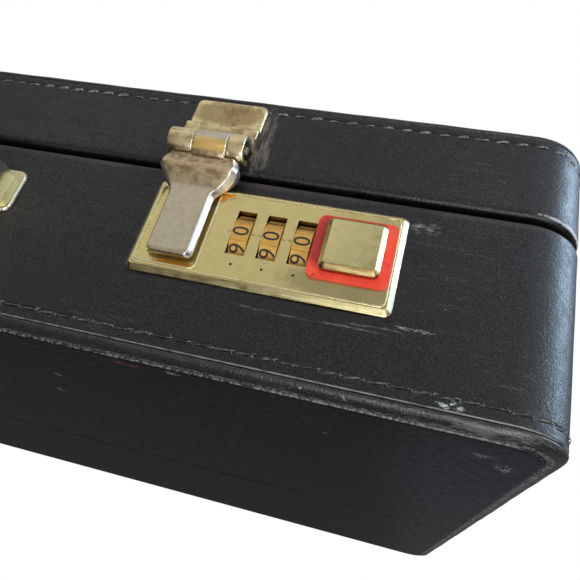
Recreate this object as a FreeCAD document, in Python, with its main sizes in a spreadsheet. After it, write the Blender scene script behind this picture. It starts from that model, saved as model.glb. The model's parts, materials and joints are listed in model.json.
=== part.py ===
"""Hard-sided leather attache case with two combination locks, as a parametric FreeCAD document.

Frame: millimetres, the case lies flat on its base panel. +X runs along the hinge line, -Y is the side with
the handle and the locks, +Y is the hinge side, and +Z is up, from the base to the lid. The origin is on the
underside of the base panel, at the middle of the case's length and depth.
"""

import FreeCAD, Part
import Sketcher
import math
import os
import re

from FreeCAD import Placement, Rotation, Vector

DIMENSIONS = [
    # the case
    ("case_length", 457.0, "outside length along X"),
    ("case_depth", 330.0, "outside depth along Y, locks to hinges"),
    ("case_height", 95.0, "closed height, panel to panel"),
    ("base_height", 61.0, "height of the base up to its rim"),
    ("lid_height", 31.7, "height of the lid from its rim to its panel"),
    ("corner_radius", 17.0, "radius of the upright corners"),
    ("leather", 1.5, "thickness of the covering leather"),
    ("frame_wall", 6.0, "thickness of the plywood side walls"),
    ("board", 4.0, "thickness of the plywood panels"),
    ("base_cloth", 1.2, "thickness of the lining in the base"),
    ("lid_cloth", 0.7, "thickness of the lining in the lid"),
    ("welt_rise", 3.3, "height of the seam between welt and side leather"),
    ("welt_width", 5.3, "width of the welt seen on the panel side"),
    ("welt_round", 2.7, "radius of the welt's outer edge"),
    ("panel_step", 0.5, "how far the panel leather stands proud of the welt"),
    ("rim_round", 2.2, "rounding of the leather where it turns over the rim"),
    ("lip_wall", 2.0, "thickness of the dust lip"),
    ("lip_foot", 56.5, "underside of the dust lip"),
    ("lip_top", 67.5, "top of the dust lip, inside the closed lid"),
    # hinges and feet
    ("hinge_span", 140.0, "each hinge's distance from the middle"),
    ("hinge_length", 44.0, "length of a hinge along X"),
    ("hinge_offset", 3.2, "hinge axis outside the back wall"),
    ("hinge_axis_height", 62.15, "height of the hinge axis"),
    ("knuckle_radius", 3.0, "outside radius of a hinge knuckle"),
    ("hinge_pin_radius", 1.5, "radius of a hinge pin"),
    ("hinge_sheet", 1.2, "thickness of a hinge leaf"),
    ("foot_radius", 7.0, "radius of a foot"),
    ("foot_length", 8.0, "how far a foot stands off the back wall"),
    ("foot_span", 195.0, "each foot's distance from the middle"),
    # combination locks, the right one; the left one is its mirror image
    ("lock_x", 142.15, "middle of the lock plate along X"),
    ("lock_z", 40.1, "middle of the lock plate's height"),
    ("plate_length", 75.6, "lock plate along X"),
    ("plate_height", 31.8, "lock plate along Z"),
    ("plate_sheet", 1.8, "height of the plate's face over the leather"),
    ("plate_bevel", 1.5, "bevel round the plate's face"),
    ("recess_depth", 0.7, "depth of the plate's recess under the hasp's tongue"),
    ("window_length", 5.6, "dial window along X"),
    ("window_height", 14.5, "dial window along Z"),
    ("window_pitch", 8.87, "spacing of the dial windows"),
    ("window_first", -7.4, "first window from the middle of the plate"),
    ("dial_rise", 1.05, "dial axis above the middle of the plate"),
    ("dial_radius", 8.5, "dial axis to a numeral face"),
    ("dial_width", 5.0, "dial along X"),
    ("dial_proud", 1.0, "how far a dial stands out of its window"),
    ("spindle_radius", 1.5, "radius of the dial spindle"),
    ("cavity_length", 68.0, "cut-out for the lock in the wall, along X"),
    ("cavity_height", 26.0, "cut-out for the lock in the wall, along Z"),
    ("lock_depth", 16.6, "back of the lock case behind the leather's face"),
    ("lock_sheet", 0.8, "thickness of the lock case"),
    ("button_x", 24.65, "button from the middle of the plate along X"),
    ("button_z", 1.3, "button above the middle of the plate"),
    ("button_size", 16.6, "width of the square button"),
    ("button_top", 5.5, "button's face over the leather"),
    ("button_bevel", 1.35, "bevel round the button's face"),
    ("button_travel", 3.0, "how far the button slides towards the handle"),
    ("pad_length", 22.2, "button pad along X"),
    ("pad_height", 20.2, "button pad along Z"),
    ("pad_sheet", 0.8, "thickness of the button pad"),
    # hasps, the right one
    ("hasp_x", 117.2, "middle of the hasp along X"),
    ("hasp_width", 24.2, "leaf and barrel along X"),
    ("hasp_axis_out", 5.5, "hasp axis in front of the leather"),
    ("hasp_axis_z", 67.3, "height of the hasp axis"),
    ("barrel_radius", 4.5, "radius of the hasp barrel"),
    ("hasp_pin_radius", 1.2, "radius of the hasp pin"),
    ("tongue_end", 29.5, "height of the tongue's free end"),
    # handle
    ("handle_z", 43.0, "height of the handle's axis"),
    ("handle_out", 8.5, "handle's axis in front of the leather"),
    ("handle_drop", 31.0, "handle's axis to the middle of the grip"),
    ("grip_length", 74.0, "leather grip along X"),
    ("grip_depth", 14.0, "grip along Y"),
    ("grip_height", 18.0, "grip along Z"),
    ("ear_inner", 41.0, "inner face of an end fitting's ear"),
    ("ear_outer", 46.5, "outer face of an end fitting's ear"),
    ("lug_inner", 47.0, "inner face of a bracket's lug"),
    ("lug_outer", 57.0, "outer face of a bracket's lug"),
    ("trunnion_radius", 2.5, "radius of the handle's trunnions"),
    # lid stays
    ("stay_base_back", 60.0, "base pivot in front of the hinge axis"),
    ("stay_base_down", 35.0, "base pivot below the hinge axis"),
    ("stay_lid_back", 50.0, "lid pivot in front of the hinge axis"),
    ("stay_lid_up", 20.0, "lid pivot above the hinge axis"),
    ("link_width", 10.0, "width of a stay link"),
    ("link_sheet", 1.5, "thickness of a stay link"),
    ("stay_pin_radius", 2.0, "radius of the stay's pivots"),
    # pockets in the lid
    ("pocket_length", 380.0, "file pocket along X"),
    ("pocket_depth", 235.0, "file pocket along Y"),
    ("gusset_width", 12.0, "width of the pocket's gussets"),
    ("gusset_height", 8.0, "depth of the file pocket"),
    ("pen_loop_width", 14.0, "pen loop along X"),
]
ALIASES = {alias for alias, _, _ in DIMENSIONS}
ALONG_X = Rotation(Vector(0, 1, 0), 90)
ALONG_Y = Rotation(Vector(1, 0, 0), -90)
UPSIDE_DOWN = Rotation(Vector(1, 0, 0), 180)
PATTERN_COUNT = 10  # numerals round a dial
LOOSE = 0.06  # radial play of a turning fit

doc = FreeCAD.newDocument("attache_case")
dims = doc.addObject("Spreadsheet::Sheet", "Dims")
for row, (alias, value, note) in enumerate(DIMENSIONS, 1):
    dims.set(f"A{row}", alias)
    dims.set(f"B{row}", str(value))
    dims.set(f"C{row}", note)
    dims.setAlias(f"B{row}", alias)
doc.recompute()

subparts = []


# ---------------------------------------------------------------- expressions and placements


def term(text):
    """A formula over the sheet's aliases, as FreeCAD writes it."""
    return re.sub(r"[a-z]\w*", lambda m: "Dims." + m[0] if m[0] in ALIASES else m[0], str(text))


def number(text):
    """What a formula over the sheet's aliases comes to, in millimetres."""
    return float(dims.evalExpression(term(text)))


def bind(thing, **formulas):
    for name, formula in formulas.items():
        thing.setExpression(name, term(formula))


def place(thing, x="0", y="0", z="0", turn=None):
    thing.Placement = Placement(Vector(0, 0, 0), turn or Rotation())
    for axis, formula in zip("xyz", (x, y, z)):
        thing.setExpression("Placement.Base." + axis, term(formula))
    return thing


def keep(thing, label):
    """Marks an object as a finished sub-part."""
    thing.Label = label
    subparts.append(thing)
    return thing


# ---------------------------------------------------------------- primitives and booleans


def box(name, x, y, z):
    """A box from three (low, high) pairs of formulas."""
    thing = doc.addObject("Part::Box", name)
    (x0, x1), (y0, y1), (z0, z1) = x, y, z
    bind(thing, Length=f"({x1}) - ({x0})", Width=f"({y1}) - ({y0})", Height=f"({z1}) - ({z0})")
    return place(thing, x0, y0, z0)


def rod(name, radius, length, x, y, z, turn=ALONG_X):
    """A cylinder that starts at a point."""
    thing = doc.addObject("Part::Cylinder", name)
    bind(thing, Radius=radius, Height=length)
    return place(thing, x, y, z, turn)


def fuse(name, *things):
    if len(things) == 1:
        return things[0]
    thing = doc.addObject("Part::MultiFuse", name)
    thing.Shapes = list(things)
    return thing


def cut(name, base, *tools):
    thing = doc.addObject("Part::Cut", name)
    thing.Base = base
    thing.Tool = fuse(name + "_tools", *tools)
    return thing


def group(name, *things):
    """Separate solids that share one node."""
    thing = doc.addObject("Part::Compound", name)
    thing.Links = list(things)
    return thing


def mirror(name, source):
    """The same thing on the other side of the case's middle."""
    thing = doc.addObject("Part::Mirroring", name)
    thing.Source = source
    thing.Base = Vector(0, 0, 0)
    thing.Normal = Vector(1, 0, 0)
    return thing


def round_edges(name, base, radius, chosen, kind="Part::Fillet"):
    """Rounds or bevels those edges of base for which chosen(middle, direction) is true."""
    doc.recompute()
    size = number(radius)
    picked = []
    for index, edge in enumerate(base.Shape.Edges, 1):
        middle = edge.valueAt((edge.FirstParameter + edge.LastParameter) / 2)
        along = edge.Vertexes[-1].Point - edge.Vertexes[0].Point
        if along.Length > 1e-6:
            along.normalize()
        if chosen(middle, along):
            picked.append((index, size, size))
    thing = doc.addObject(kind, name)
    thing.Base = base
    thing.Edges = picked
    return thing


def along_y(middle, direction):
    return abs(direction.y) > 0.99


# ---------------------------------------------------------------- sketches and bodies


def origin_plane(body, role):
    return next(f for f in body.Origin.OriginFeatures if f.Role == role)


def new_sketch(body, name, plane, offset="0"):
    sketch = body.newObject("Sketcher::SketchObject", name)
    sketch.AttachmentSupport = (origin_plane(body, plane), [""])
    sketch.MapMode = "FlatFace"
    sketch.setExpression("AttachmentOffset.Base.z", term(offset))
    return sketch


def drive(sketch, index, name, formula):
    """Names a sketch dimension and binds it to the sheet."""
    sketch.renameConstraint(index, name)
    sketch.setExpression("Constraints." + name, term(formula))


def rounded_rectangle(sketch, name, length, width, radius):
    """A rounded rectangle centred on the sketch's origin."""
    half_l, half_w, r = number(length) / 2, number(width) / 2, number(radius)
    corners = [(half_l, half_w), (-half_l, half_w), (-half_l, -half_w), (half_l, -half_w)]
    centres = [Vector(math.copysign(abs(x) - r, x), math.copysign(abs(y) - r, y), 0) for x, y in corners]
    normal = Vector(0, 0, 1)
    arcs, lines = [], []
    for quarter, centre in enumerate(centres):
        start = quarter * math.pi / 2
        arcs.append(Part.ArcOfCircle(Part.Circle(centre, normal, r), start, start + math.pi / 2))
    for quarter in range(4):
        lines.append(Part.LineSegment(arcs[quarter].EndPoint, arcs[(quarter + 1) % 4].StartPoint))
    arc_ids = [sketch.addGeometry(arc, False) for arc in arcs]
    line_ids = [sketch.addGeometry(line, False) for line in lines]
    for quarter in range(4):
        after = arc_ids[(quarter + 1) % 4]
        sketch.addConstraint(Sketcher.Constraint("Tangent", arc_ids[quarter], 2, line_ids[quarter], 1))
        sketch.addConstraint(Sketcher.Constraint("Tangent", line_ids[quarter], 2, after, 1))
    for quarter, way in enumerate(("Horizontal", "Vertical", "Horizontal", "Vertical")):
        sketch.addConstraint(Sketcher.Constraint(way, line_ids[quarter]))
    for quarter in (1, 2, 3):
        sketch.addConstraint(Sketcher.Constraint("Equal", arc_ids[0], arc_ids[quarter]))
    sketch.addConstraint(Sketcher.Constraint("Symmetric", arc_ids[0], 3, arc_ids[2], 3, -1, 1))
    sizes = [
        ("radius", Sketcher.Constraint("Radius", arc_ids[0], r), radius),
        ("length", Sketcher.Constraint("DistanceX", line_ids[1], 1, line_ids[3], 1, 2 * half_l), length),
        ("width", Sketcher.Constraint("DistanceY", line_ids[2], 1, line_ids[0], 1, 2 * half_w), width),
    ]
    for kind, constraint, formula in sizes:
        drive(sketch, sketch.addConstraint(constraint), f"{name}_{kind}", formula)


def case_outline(sketch, name, inset):
    """The case's plan outline, moved inwards by inset."""
    rounded_rectangle(
        sketch,
        name,
        f"case_length - 2 * ({inset})",
        f"case_depth - 2 * ({inset})",
        f"corner_radius - ({inset})",
    )


def pad_case(body, name, low, high, outer, inner=None):
    """Adds a plate or, with inner, a ring of the case's plan shape between two levels."""
    sketch = new_sketch(body, name + "_sketch", "XY_Plane", low)
    case_outline(sketch, "outer", outer)
    if inner is not None:
        case_outline(sketch, "inner", inner)
    pad = body.newObject("PartDesign::Pad", name)
    pad.Profile = sketch
    bind(pad, Length=f"({high}) - ({low})")
    return pad


def half_body(name, half):
    """A body whose own Z runs from the half's panel towards its rim."""
    body = doc.addObject("PartDesign::Body", name)
    if half == "lid":
        return place(body, z="case_height", turn=UPSIDE_DOWN)
    return place(body)


def fillet_level(body, feature, radius, level, reach):
    """Rounds a body's edges that lie on one level and nearer than reach to the case's outside."""
    doc.recompute()
    half_l, half_w, z = number("case_length / 2"), number("case_depth / 2"), number(level)
    names = []
    for index, edge in enumerate(feature.Shape.Edges, 1):
        bounds = edge.BoundBox
        middle = edge.valueAt((edge.FirstParameter + edge.LastParameter) / 2)
        flat = abs(bounds.ZMin - z) < 1e-3 and abs(bounds.ZMax - z) < 1e-3
        corner_gap = math.hypot(half_l - abs(middle.x), half_w - abs(middle.y))
        beside = min(half_l - abs(middle.x), half_w - abs(middle.y)) < reach
        if flat and (beside or corner_gap < number("corner_radius") * 0.42 + reach):
            names.append(f"Edge{index}")
    fillet = body.newObject("PartDesign::Fillet", body.Name + "_round")
    fillet.Base = (feature, names)
    bind(fillet, Radius=radius)
    return fillet


# ---------------------------------------------------------------- the two halves of the case


def lock_cavity(side):
    """The cut-out through the front wall behind one lock."""
    return box(
        f"cavity_{'right' if side > 0 else 'left'}",
        (f"{side} * lock_x - cavity_length / 2", f"{side} * lock_x + cavity_length / 2"),
        ("-case_depth / 2 - 1", "-case_depth / 2 + 12"),
        ("lock_z - cavity_height / 2", "lock_z + cavity_height / 2"),
    )


def with_lock_cavities(name, body):
    return cut(name, body, lock_cavity(1), lock_cavity(-1))


def make_half(half, cloth):
    """Panel, board, welt, side leather, frame and lining of the base or the lid."""
    rim = f"{half}_height"
    finish = with_lock_cavities if half == "base" else (lambda name, body: body)

    body = half_body(f"{half}_panel", half)
    pad_case(body, f"{half}_panel_pad", "0", "leather", "welt_width + 0.3")
    keep(body, f"{half}_panel_leather")

    body = half_body(f"{half}_plywood", half)
    pad_case(body, f"{half}_plywood_pad", "leather", "leather + board", "welt_width + 0.1")
    keep(body, f"{half}_board")

    body = half_body(f"{half}_edge", half)
    pad_case(body, f"{half}_edge_low", "panel_step", "welt_rise", "0", "welt_width")
    pad = pad_case(body, f"{half}_edge_high", "welt_rise", "leather + board", "leather", "welt_width")
    fillet_level(body, pad, "welt_round", "panel_step", 0.1)
    keep(body, f"{half}_welt")

    body = half_body(f"{half}_wall", half)
    pad_case(body, f"{half}_wall_pad", "welt_rise", f"{rim} - leather", "0", "leather")
    pad = pad_case(body, f"{half}_turnover", f"{rim} - leather", rim, "0", "leather + frame_wall")
    fillet_level(body, pad, "rim_round", rim, 0.1)
    keep(finish(f"{half}_wall_cut", body), f"{half}_side_leather")

    body = half_body(f"{half}_ring", half)
    pad_case(body, f"{half}_ring_pad", "leather + board", f"{rim} - leather", "leather", "leather + frame_wall")
    keep(finish(f"{half}_ring_cut", body), f"{half}_frame")

    body = half_body(f"{half}_cloth_body", half)
    floor = "leather + board"
    wall = "leather + frame_wall"
    pad_case(body, f"{half}_cloth_floor", floor, f"{floor} + {cloth}", wall)
    pad_case(body, f"{half}_cloth_wall", f"{floor} + {cloth}", f"{rim} - 0.5", wall, f"{wall} + {cloth}")
    keep(finish(f"{half}_cloth_cut", body), f"{half}_lining")


def make_lip():
    """The dust lip that stands up inside the base and closes the seam behind the lid's rim."""
    body = half_body("lip", "base")
    inset = "leather + frame_wall + base_cloth"
    pad_case(body, "lip_pad", "lip_foot", "lip_top", inset, f"{inset} + lip_wall")
    keep(body, "base_lip")


# ---------------------------------------------------------------- hinges, feet and rivets

BACK = "case_depth / 2"
HINGE_Y = "case_depth / 2 + hinge_offset"
KNUCKLES = 5
KNUCKLE_GAP = 0.2


def knuckle(name, side, place_in_row):
    """The barrel and web of one hinge knuckle; places in the row are counted along +X from 0."""
    start = f"{side} * hinge_span - hinge_length / 2 + {place_in_row} * hinge_length / {KNUCKLES}"
    length = f"hinge_length / {KNUCKLES} - {KNUCKLE_GAP}"
    barrel = rod(name, "knuckle_radius", length, start, HINGE_Y, "hinge_axis_height")
    toward_base = place_in_row % 2 == 0
    levels = ("hinge_axis_height - knuckle_radius - 0.6", "hinge_axis_height")
    if not toward_base:
        levels = ("hinge_axis_height", "hinge_axis_height + knuckle_radius + 0.6")
    web = box(name + "_web", (start, f"{start} + {length}"), (BACK, f"{BACK} + hinge_sheet"), levels)
    return [barrel, web]


def hinge_leaf(half, side):
    """A leaf with its knuckles, bored for the pin."""
    name = f"{half}_leaf_{'right' if side > 0 else 'left'}"
    levels = ("38", "hinge_axis_height - knuckle_radius - 0.5")
    rows, play = (0, 2, 4), 0.01
    if half == "lid":
        levels = ("hinge_axis_height + knuckle_radius + 0.5", "86")
        rows, play = (1, 3), LOOSE
    start, end = f"{side} * hinge_span - hinge_length / 2", f"{side} * hinge_span + hinge_length / 2"
    solids = [box(name + "_sheet", (start, f"{end} - {KNUCKLE_GAP}"), (BACK, f"{BACK} + hinge_sheet"), levels)]
    for place_in_row in rows:
        solids += knuckle(f"{name}_knuckle_{place_in_row}", side, place_in_row)
    bore = rod(
        name + "_bore",
        f"hinge_pin_radius + {play}",
        "hinge_length + 4",
        f"{side} * hinge_span - hinge_length / 2 - 2",
        HINGE_Y,
        "hinge_axis_height",
    )
    return cut(name, fuse(name + "_solid", *solids), bore)


def hinge_pin(side):
    name = f"hinge_pin_{'right' if side > 0 else 'left'}"
    start = f"{side} * hinge_span - hinge_length / 2"
    return rod(name, "hinge_pin_radius", f"hinge_length - {KNUCKLE_GAP}", start, HINGE_Y, "hinge_axis_height")


def foot(name, x, z):
    """A turned foot on the back wall, with a rounded outer edge."""
    stud = rod(name + "_stud", "foot_radius", "foot_length", x, BACK, z, ALONG_Y)
    face = number("case_depth / 2 + foot_length")
    return round_edges(name, stud, "2", lambda middle, _: abs(middle.y - face) < 0.01)


def make_feet():
    for half, level in (("base", "18"), ("lid", "80")):
        pair = [foot(f"{half}_foot_{side + 1}", f"{side} * foot_span", level) for side in (-1, 1)]
        keep(group(f"{half}_feet_pair", *pair), f"{half}_feet")


def rivet(name, x, y, z, turn, length="1.6"):
    """A low rivet head."""
    return rod(name, "1.9", length, x, y, z, turn)


def leaf_rivets(half, side):
    low, high = ("43", "54") if half == "base" else ("71", "81")
    heads = []
    for index, (shift, level) in enumerate(((-14, low), (14, low), (-14, high), (14, high))):
        name = f"{half}_leaf_rivet_{side + 1}_{index}"
        start = f"{BACK} + hinge_sheet"
        heads.append(rivet(name, f"{side} * hinge_span + {shift}", start, level, ALONG_Y, "0.9"))
    return heads


def make_hinges():
    for half in ("base", "lid"):
        keep(group(f"{half}_leaves", hinge_leaf(half, 1), hinge_leaf(half, -1)), f"hinge_{half}_leaves")
    keep(group("hinge_pin_pair", hinge_pin(1), hinge_pin(-1)), "hinge_pins")


# ---------------------------------------------------------------- combination locks

FACE = "-case_depth / 2"  # the front leather's outer face
DIAL_Y = f"{FACE} - plate_sheet - dial_proud + dial_radius"
DIAL_Z = "lock_z + dial_rise"


def out(formula):
    """A level measured outwards from the front leather."""
    return f"{FACE} - ({formula})"


def on_plate(x0, x1, z0, z1):
    """Spans measured from the middle of the right lock plate."""
    return (f"lock_x + ({x0})", f"lock_x + ({x1})"), (f"lock_z + ({z0})", f"lock_z + ({z1})")


def plate_box(name, x, z, outer, inner):
    return box(name, x, (out(outer), out(inner)), z)


def stem_slot(name, outer, inner):
    """The slot that the button's stem slides in."""
    x, z = on_plate("button_x - 2.8 - button_travel", "button_x + 2.8", "button_z - 2.8", "button_z + 2.8")
    return plate_box(name, x, z, outer, inner)


def lock_plate():
    """The stamped face plate: a bevelled edge, three windows and the recess under the hasp's tongue."""
    half_l, half_h = "plate_length / 2", "plate_height / 2"
    x, z = on_plate(f"-{half_l}", half_l, f"-{half_h}", half_h)
    blank = plate_box("plate_blank", x, z, "plate_sheet", "0")
    rounded = round_edges("plate_corners", blank, "2.2", along_y)
    face = number(out("plate_sheet"))
    bevelled = round_edges(
        "plate_edge", rounded, "plate_bevel", lambda middle, _: abs(middle.y - face) < 0.01, "Part::Chamfer"
    )
    x, z = on_plate("-35.2", "-17.5", "-12.6", f"{half_h} - 2.2")
    recess = plate_box("recess_blank", x, z, "plate_sheet + 1", "plate_sheet - recess_depth")
    tools = [round_edges("tongue_recess", recess, "2", along_y)]
    for index in range(3):
        middle = f"window_first + {index} * window_pitch"
        x, z = on_plate(
            f"{middle} - window_length / 2",
            f"{middle} + window_length / 2",
            "dial_rise - window_height / 2",
            "dial_rise + window_height / 2",
        )
        tools.append(plate_box(f"window_{index + 1}", x, z, "plate_sheet + 1", "-1"))
    tools.append(stem_slot("plate_stem_slot", "plate_sheet + 1", "-1"))
    for index, (x, z) in enumerate(SCREW_PLACES):
        tools.append(screw_shank(f"plate_screw_hole_{index}", x, z, "1.55", "0.9", "-1"))
    return cut("plate_right", bevelled, *tools)


SCREW_PLACES = [(-30.3, 9.5), (30.3, 9.5), (30.3, -9.5)]


def screw_shank(name, x, z, radius, outer, inner):
    length = f"({outer}) - ({inner})"
    return rod(name, radius, length, f"lock_x + {x}", out(outer), f"lock_z + {z}", ALONG_Y)


def lock_screws():
    screws = []
    for index, (x, z) in enumerate(SCREW_PLACES):
        shank = screw_shank(f"screw_shank_{index}", x, z, "1.5", "0.8", "-lock_depth")
        head = screw_shank(f"screw_head_{index}", x, z, "2.6", "-lock_depth", "-lock_depth - 1.4")
        screws.append(fuse(f"screw_{index}", shank, head))
    return screws


def lock_case():
    """The pressed box behind the plate, with two ears that hold the dial spindle."""
    x, z = on_plate("-33.5", "33.5", "-12.5", "12.5")
    shell = plate_box("case_shell", x, z, "0", "-lock_depth")
    x, z = on_plate("-33.5 + lock_sheet", "33.5 - lock_sheet", "-12.5 + lock_sheet", "12.5 - lock_sheet")
    hollow = plate_box("case_hollow", x, z, "1", "-lock_depth + lock_sheet")
    ears = []
    for index, start in enumerate(("-12.3", "14.2")):
        x, z = on_plate(start, f"{start} + 1", "-2.5", "4.6")
        ears.append(plate_box(f"spindle_ear_{index}", x, z, "-3", "-lock_depth"))
    walls = fuse("case_walls", cut("case_tray", shell, hollow), *ears)
    bore = rod("ear_bore", "spindle_radius + 0.02", "32", "lock_x - 14", DIAL_Y, DIAL_Z)
    holes = [
        screw_shank(f"case_screw_hole_{i}", x, z, "1.6", "-lock_depth + 2", "-lock_depth - 1")
        for i, (x, z) in enumerate(SCREW_PLACES)
    ]
    return cut("case_right", walls, bore, *holes)


def button_pad():
    """The red fibre pad that the button slides on."""
    x, z = on_plate(
        "button_x - 0.2 - pad_length / 2",
        "button_x - 0.2 + pad_length / 2",
        "button_z - 0.3 - pad_height / 2",
        "button_z - 0.3 + pad_height / 2",
    )
    blank = plate_box("pad_blank", x, z, "plate_sheet + pad_sheet", "plate_sheet")
    rounded = round_edges("pad_corners", blank, "2.2", along_y)
    return cut("pad_right", rounded, stem_slot("pad_stem_slot", "plate_sheet + 2", "0"))


def button():
    """The bevelled brass button and its stem."""
    reach = "button_size / 2"
    ends = [f"{middle} {sign} {reach}" for middle in ("button_x", "button_z") for sign in "-+"]
    x, z = on_plate(*ends)
    blank = plate_box("button_blank", x, z, "button_top", "plate_sheet + pad_sheet + 0.15")
    rounded = round_edges("button_corners", blank, "1.9", along_y)
    face = number(out("button_top"))
    cap = round_edges(
        "button_cap", rounded, "button_bevel", lambda middle, _: abs(middle.y - face) < 0.01, "Part::Chamfer"
    )
    x, z = on_plate("button_x - 2.5", "button_x + 2.5", "button_z - 2.5", "button_z + 2.5")
    stem = plate_box("button_stem", x, z, "plate_sheet + pad_sheet + 0.2", "-2")
    return fuse("button_right", cap, stem)


def bolt_slide():
    """The flat slide behind the plate that the button moves under the hasp's tongue."""
    x, z = on_plate("-28", "26", "-11.3", "-8")
    bar = plate_box("bolt_bar", x, z, "-2", "-3.2")
    x, z = on_plate("21.5", "27", "-8.5", "4.5")
    arm = plate_box("bolt_arm", x, z, "-2", "-3.2")
    return fuse("bolt_right", bar, arm)


def dial(index):
    """A ten-sided dial with a groove between neighbouring numerals."""
    start = f"lock_x + window_first + {index} * window_pitch - dial_width / 2"
    wheel = doc.addObject("Part::Prism", f"dial_wheel_{index + 1}")
    wheel.Polygon = PATTERN_COUNT
    circumradius = f"dial_radius / cos(180 / {PATTERN_COUNT} * 1 deg)"
    bind(wheel, Circumradius=circumradius, Height="dial_width")
    place(wheel, start, DIAL_Y, DIAL_Z, ALONG_X)
    tools = [rod(f"dial_bore_{index + 1}", "spindle_radius + 0.08", "dial_width", start, DIAL_Y, DIAL_Z)]
    for corner in range(PATTERN_COUNT):
        turn = f"{corner * 360 / PATTERN_COUNT} * 1 deg"
        y = f"{DIAL_Y} + {circumradius} * sin({turn})"
        z = f"{DIAL_Z} + {circumradius} * cos({turn})"
        tools.append(rod(f"dial_groove_{index + 1}_{corner}", "0.45", "dial_width", start, y, z))
    return cut(f"dial_right_{index + 1}", wheel, *tools)


def spindle():
    return rod("spindle_right", "spindle_radius", "27.5", "lock_x - 12.3", DIAL_Y, DIAL_Z)


def dial_spring():
    """The leaf spring that clicks the dials, flat behind them."""
    x, z = on_plate("-10.5", "13.5", "-5", "7")
    return plate_box("dial_spring_right", x, z, "-lock_depth + lock_sheet + 0.5", "-lock_depth + lock_sheet")


def make_locks():
    """Both locks: each right-hand piece and its mirror image."""
    pieces = [
        ("lock_plate", lock_plate()),
        ("lock_case", lock_case()),
        ("button_pad", button_pad()),
        ("button", button()),
        ("bolt_slide", bolt_slide()),
        ("dial_1", dial(0)),
        ("dial_2", dial(1)),
        ("dial_3", dial(2)),
    ]
    for name, piece in pieces:
        keep(piece, f"right_{name}")
        keep(mirror(f"left_{name}", piece), f"left_{name}")
    for name, solids in (
        ("dial_spindles", [spindle()]),
        ("dial_springs", [dial_spring()]),
        ("lock_screws", lock_screws()),
    ):
        mirrored = [mirror(f"{solid.Name}_mirror", solid) for solid in solids]
        keep(group(name + "_group", *solids, *mirrored), name)


# ---------------------------------------------------------------- hasps

HASP_Y = out("hasp_axis_out")
# the barrel's splits, from the middle of the hasp
SPLIT_LOW, SPLIT_HIGH = "-3.9", "6.9"


def hasp_leaf():
    """The leaf on the lid with its two outer knuckles."""
    half = "hasp_width / 2"
    x = (f"hasp_x - {half}", f"hasp_x + {half}")
    sheet = box("hasp_sheet", x, (out("1.5"), FACE), ("73.2", "90"))
    top = number("90")
    rounded = round_edges(
        "hasp_sheet_round", sheet, "2", lambda middle, d: abs(d.y) > 0.99 and abs(middle.z - top) < 0.01
    )
    step = box("hasp_step", x, (out("3"), FACE), ("74.5", "79"))
    solids = [rounded, step]
    for name, low, high in (("low", f"-{half}", SPLIT_LOW), ("high", SPLIT_HIGH, half)):
        span = (f"hasp_x + ({low})", f"hasp_x + ({high})")
        length = f"({high}) - ({low})"
        solids.append(rod(f"hasp_knuckle_{name}", "barrel_radius", length, span[0], HASP_Y, "hasp_axis_z"))
        solids.append(box(f"hasp_cheek_{name}", span, (out("hasp_axis_out"), FACE), ("64.8", "hasp_axis_z")))
        solids.append(box(f"hasp_web_{name}", span, (out("3.6"), FACE), ("hasp_axis_z", "74.5")))
    bore = rod(
        "hasp_leaf_bore", "hasp_pin_radius + 0.01", "hasp_width", f"hasp_x - {half}", HASP_Y, "hasp_axis_z"
    )
    return cut("hasp_leaf_right", fuse("hasp_leaf_solid", *solids), bore)


def strap_side_wire():
    """The strap's section along its length: barrel side at the top, tongue at the bottom."""
    end = number("tongue_end")
    front = [(4.5, end), (4.9, 53.0), (7.2, 56.4), (8.2, 58.2), (8.4, 60.0), (8.4, 62.4)]
    back = [(3.6, 62.4), (3.5, 60.0), (2.6, 54.5), (2.3, end)]
    points = [Vector(0, number(out(str(level))), z) for level, z in front + back]
    return Part.makePolygon(points + points[:1])


def strap_front_wire():
    """The strap's outline seen from the front: a narrow tongue that flares to a wide neck."""
    end, y = number("tongue_end"), number(out("20"))
    narrow, wide, low, high, top = 6.6, 11.6, 47.5, 56.0, 62.4
    bend = (narrow + (wide - narrow) * 0.3, low + (high - low) * 0.62)

    def at(x, z):
        return Vector(x, y, z)

    return Part.Wire(
        [
            Part.LineSegment(at(-narrow, end), at(narrow, end)).toShape(),
            Part.LineSegment(at(narrow, end), at(narrow, low)).toShape(),
            Part.Arc(at(narrow, low), at(*bend), at(wide, high)).toShape(),
            Part.LineSegment(at(wide, high), at(wide, top)).toShape(),
            Part.LineSegment(at(wide, top), at(-wide, top)).toShape(),
            Part.LineSegment(at(-wide, top), at(-wide, high)).toShape(),
            Part.Arc(at(-wide, high), at(-bend[0], bend[1]), at(-narrow, low)).toShape(),
            Part.LineSegment(at(-narrow, low), at(-narrow, end)).toShape(),
        ]
    )


def hasp_strap():
    """The swinging strap: its stamped form is a section met by an outline, with the middle knuckle on top."""
    wide = number("hasp_width")
    section = Part.Face(strap_side_wire()).extrude(Vector(wide, 0, 0))
    section.translate(Vector(-wide / 2, 0, 0))
    outline = Part.Face(strap_front_wire()).extrude(Vector(0, 30, 0))
    blank = doc.addObject("Part::Feature", "strap_blank")
    blank.Shape = section.common(outline).Solids[0]
    place(blank, x="hasp_x")
    low, high = f"{SPLIT_LOW} + 0.2", f"{SPLIT_HIGH} - 0.2"
    span = (f"hasp_x + ({low})", f"hasp_x + ({high})")
    barrel = rod("strap_knuckle", "barrel_radius", f"({high}) - ({low})", span[0], HASP_Y, "hasp_axis_z")
    web = box("strap_web", span, (out("8.4"), out("3.6")), ("62", "hasp_axis_z"))
    bore = rod(
        "strap_bore",
        f"hasp_pin_radius + {LOOSE}",
        "hasp_width",
        "hasp_x - hasp_width / 2",
        HASP_Y,
        "hasp_axis_z",
    )
    return cut("hasp_strap_right", fuse("strap_solid", blank, barrel, web), bore)


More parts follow.
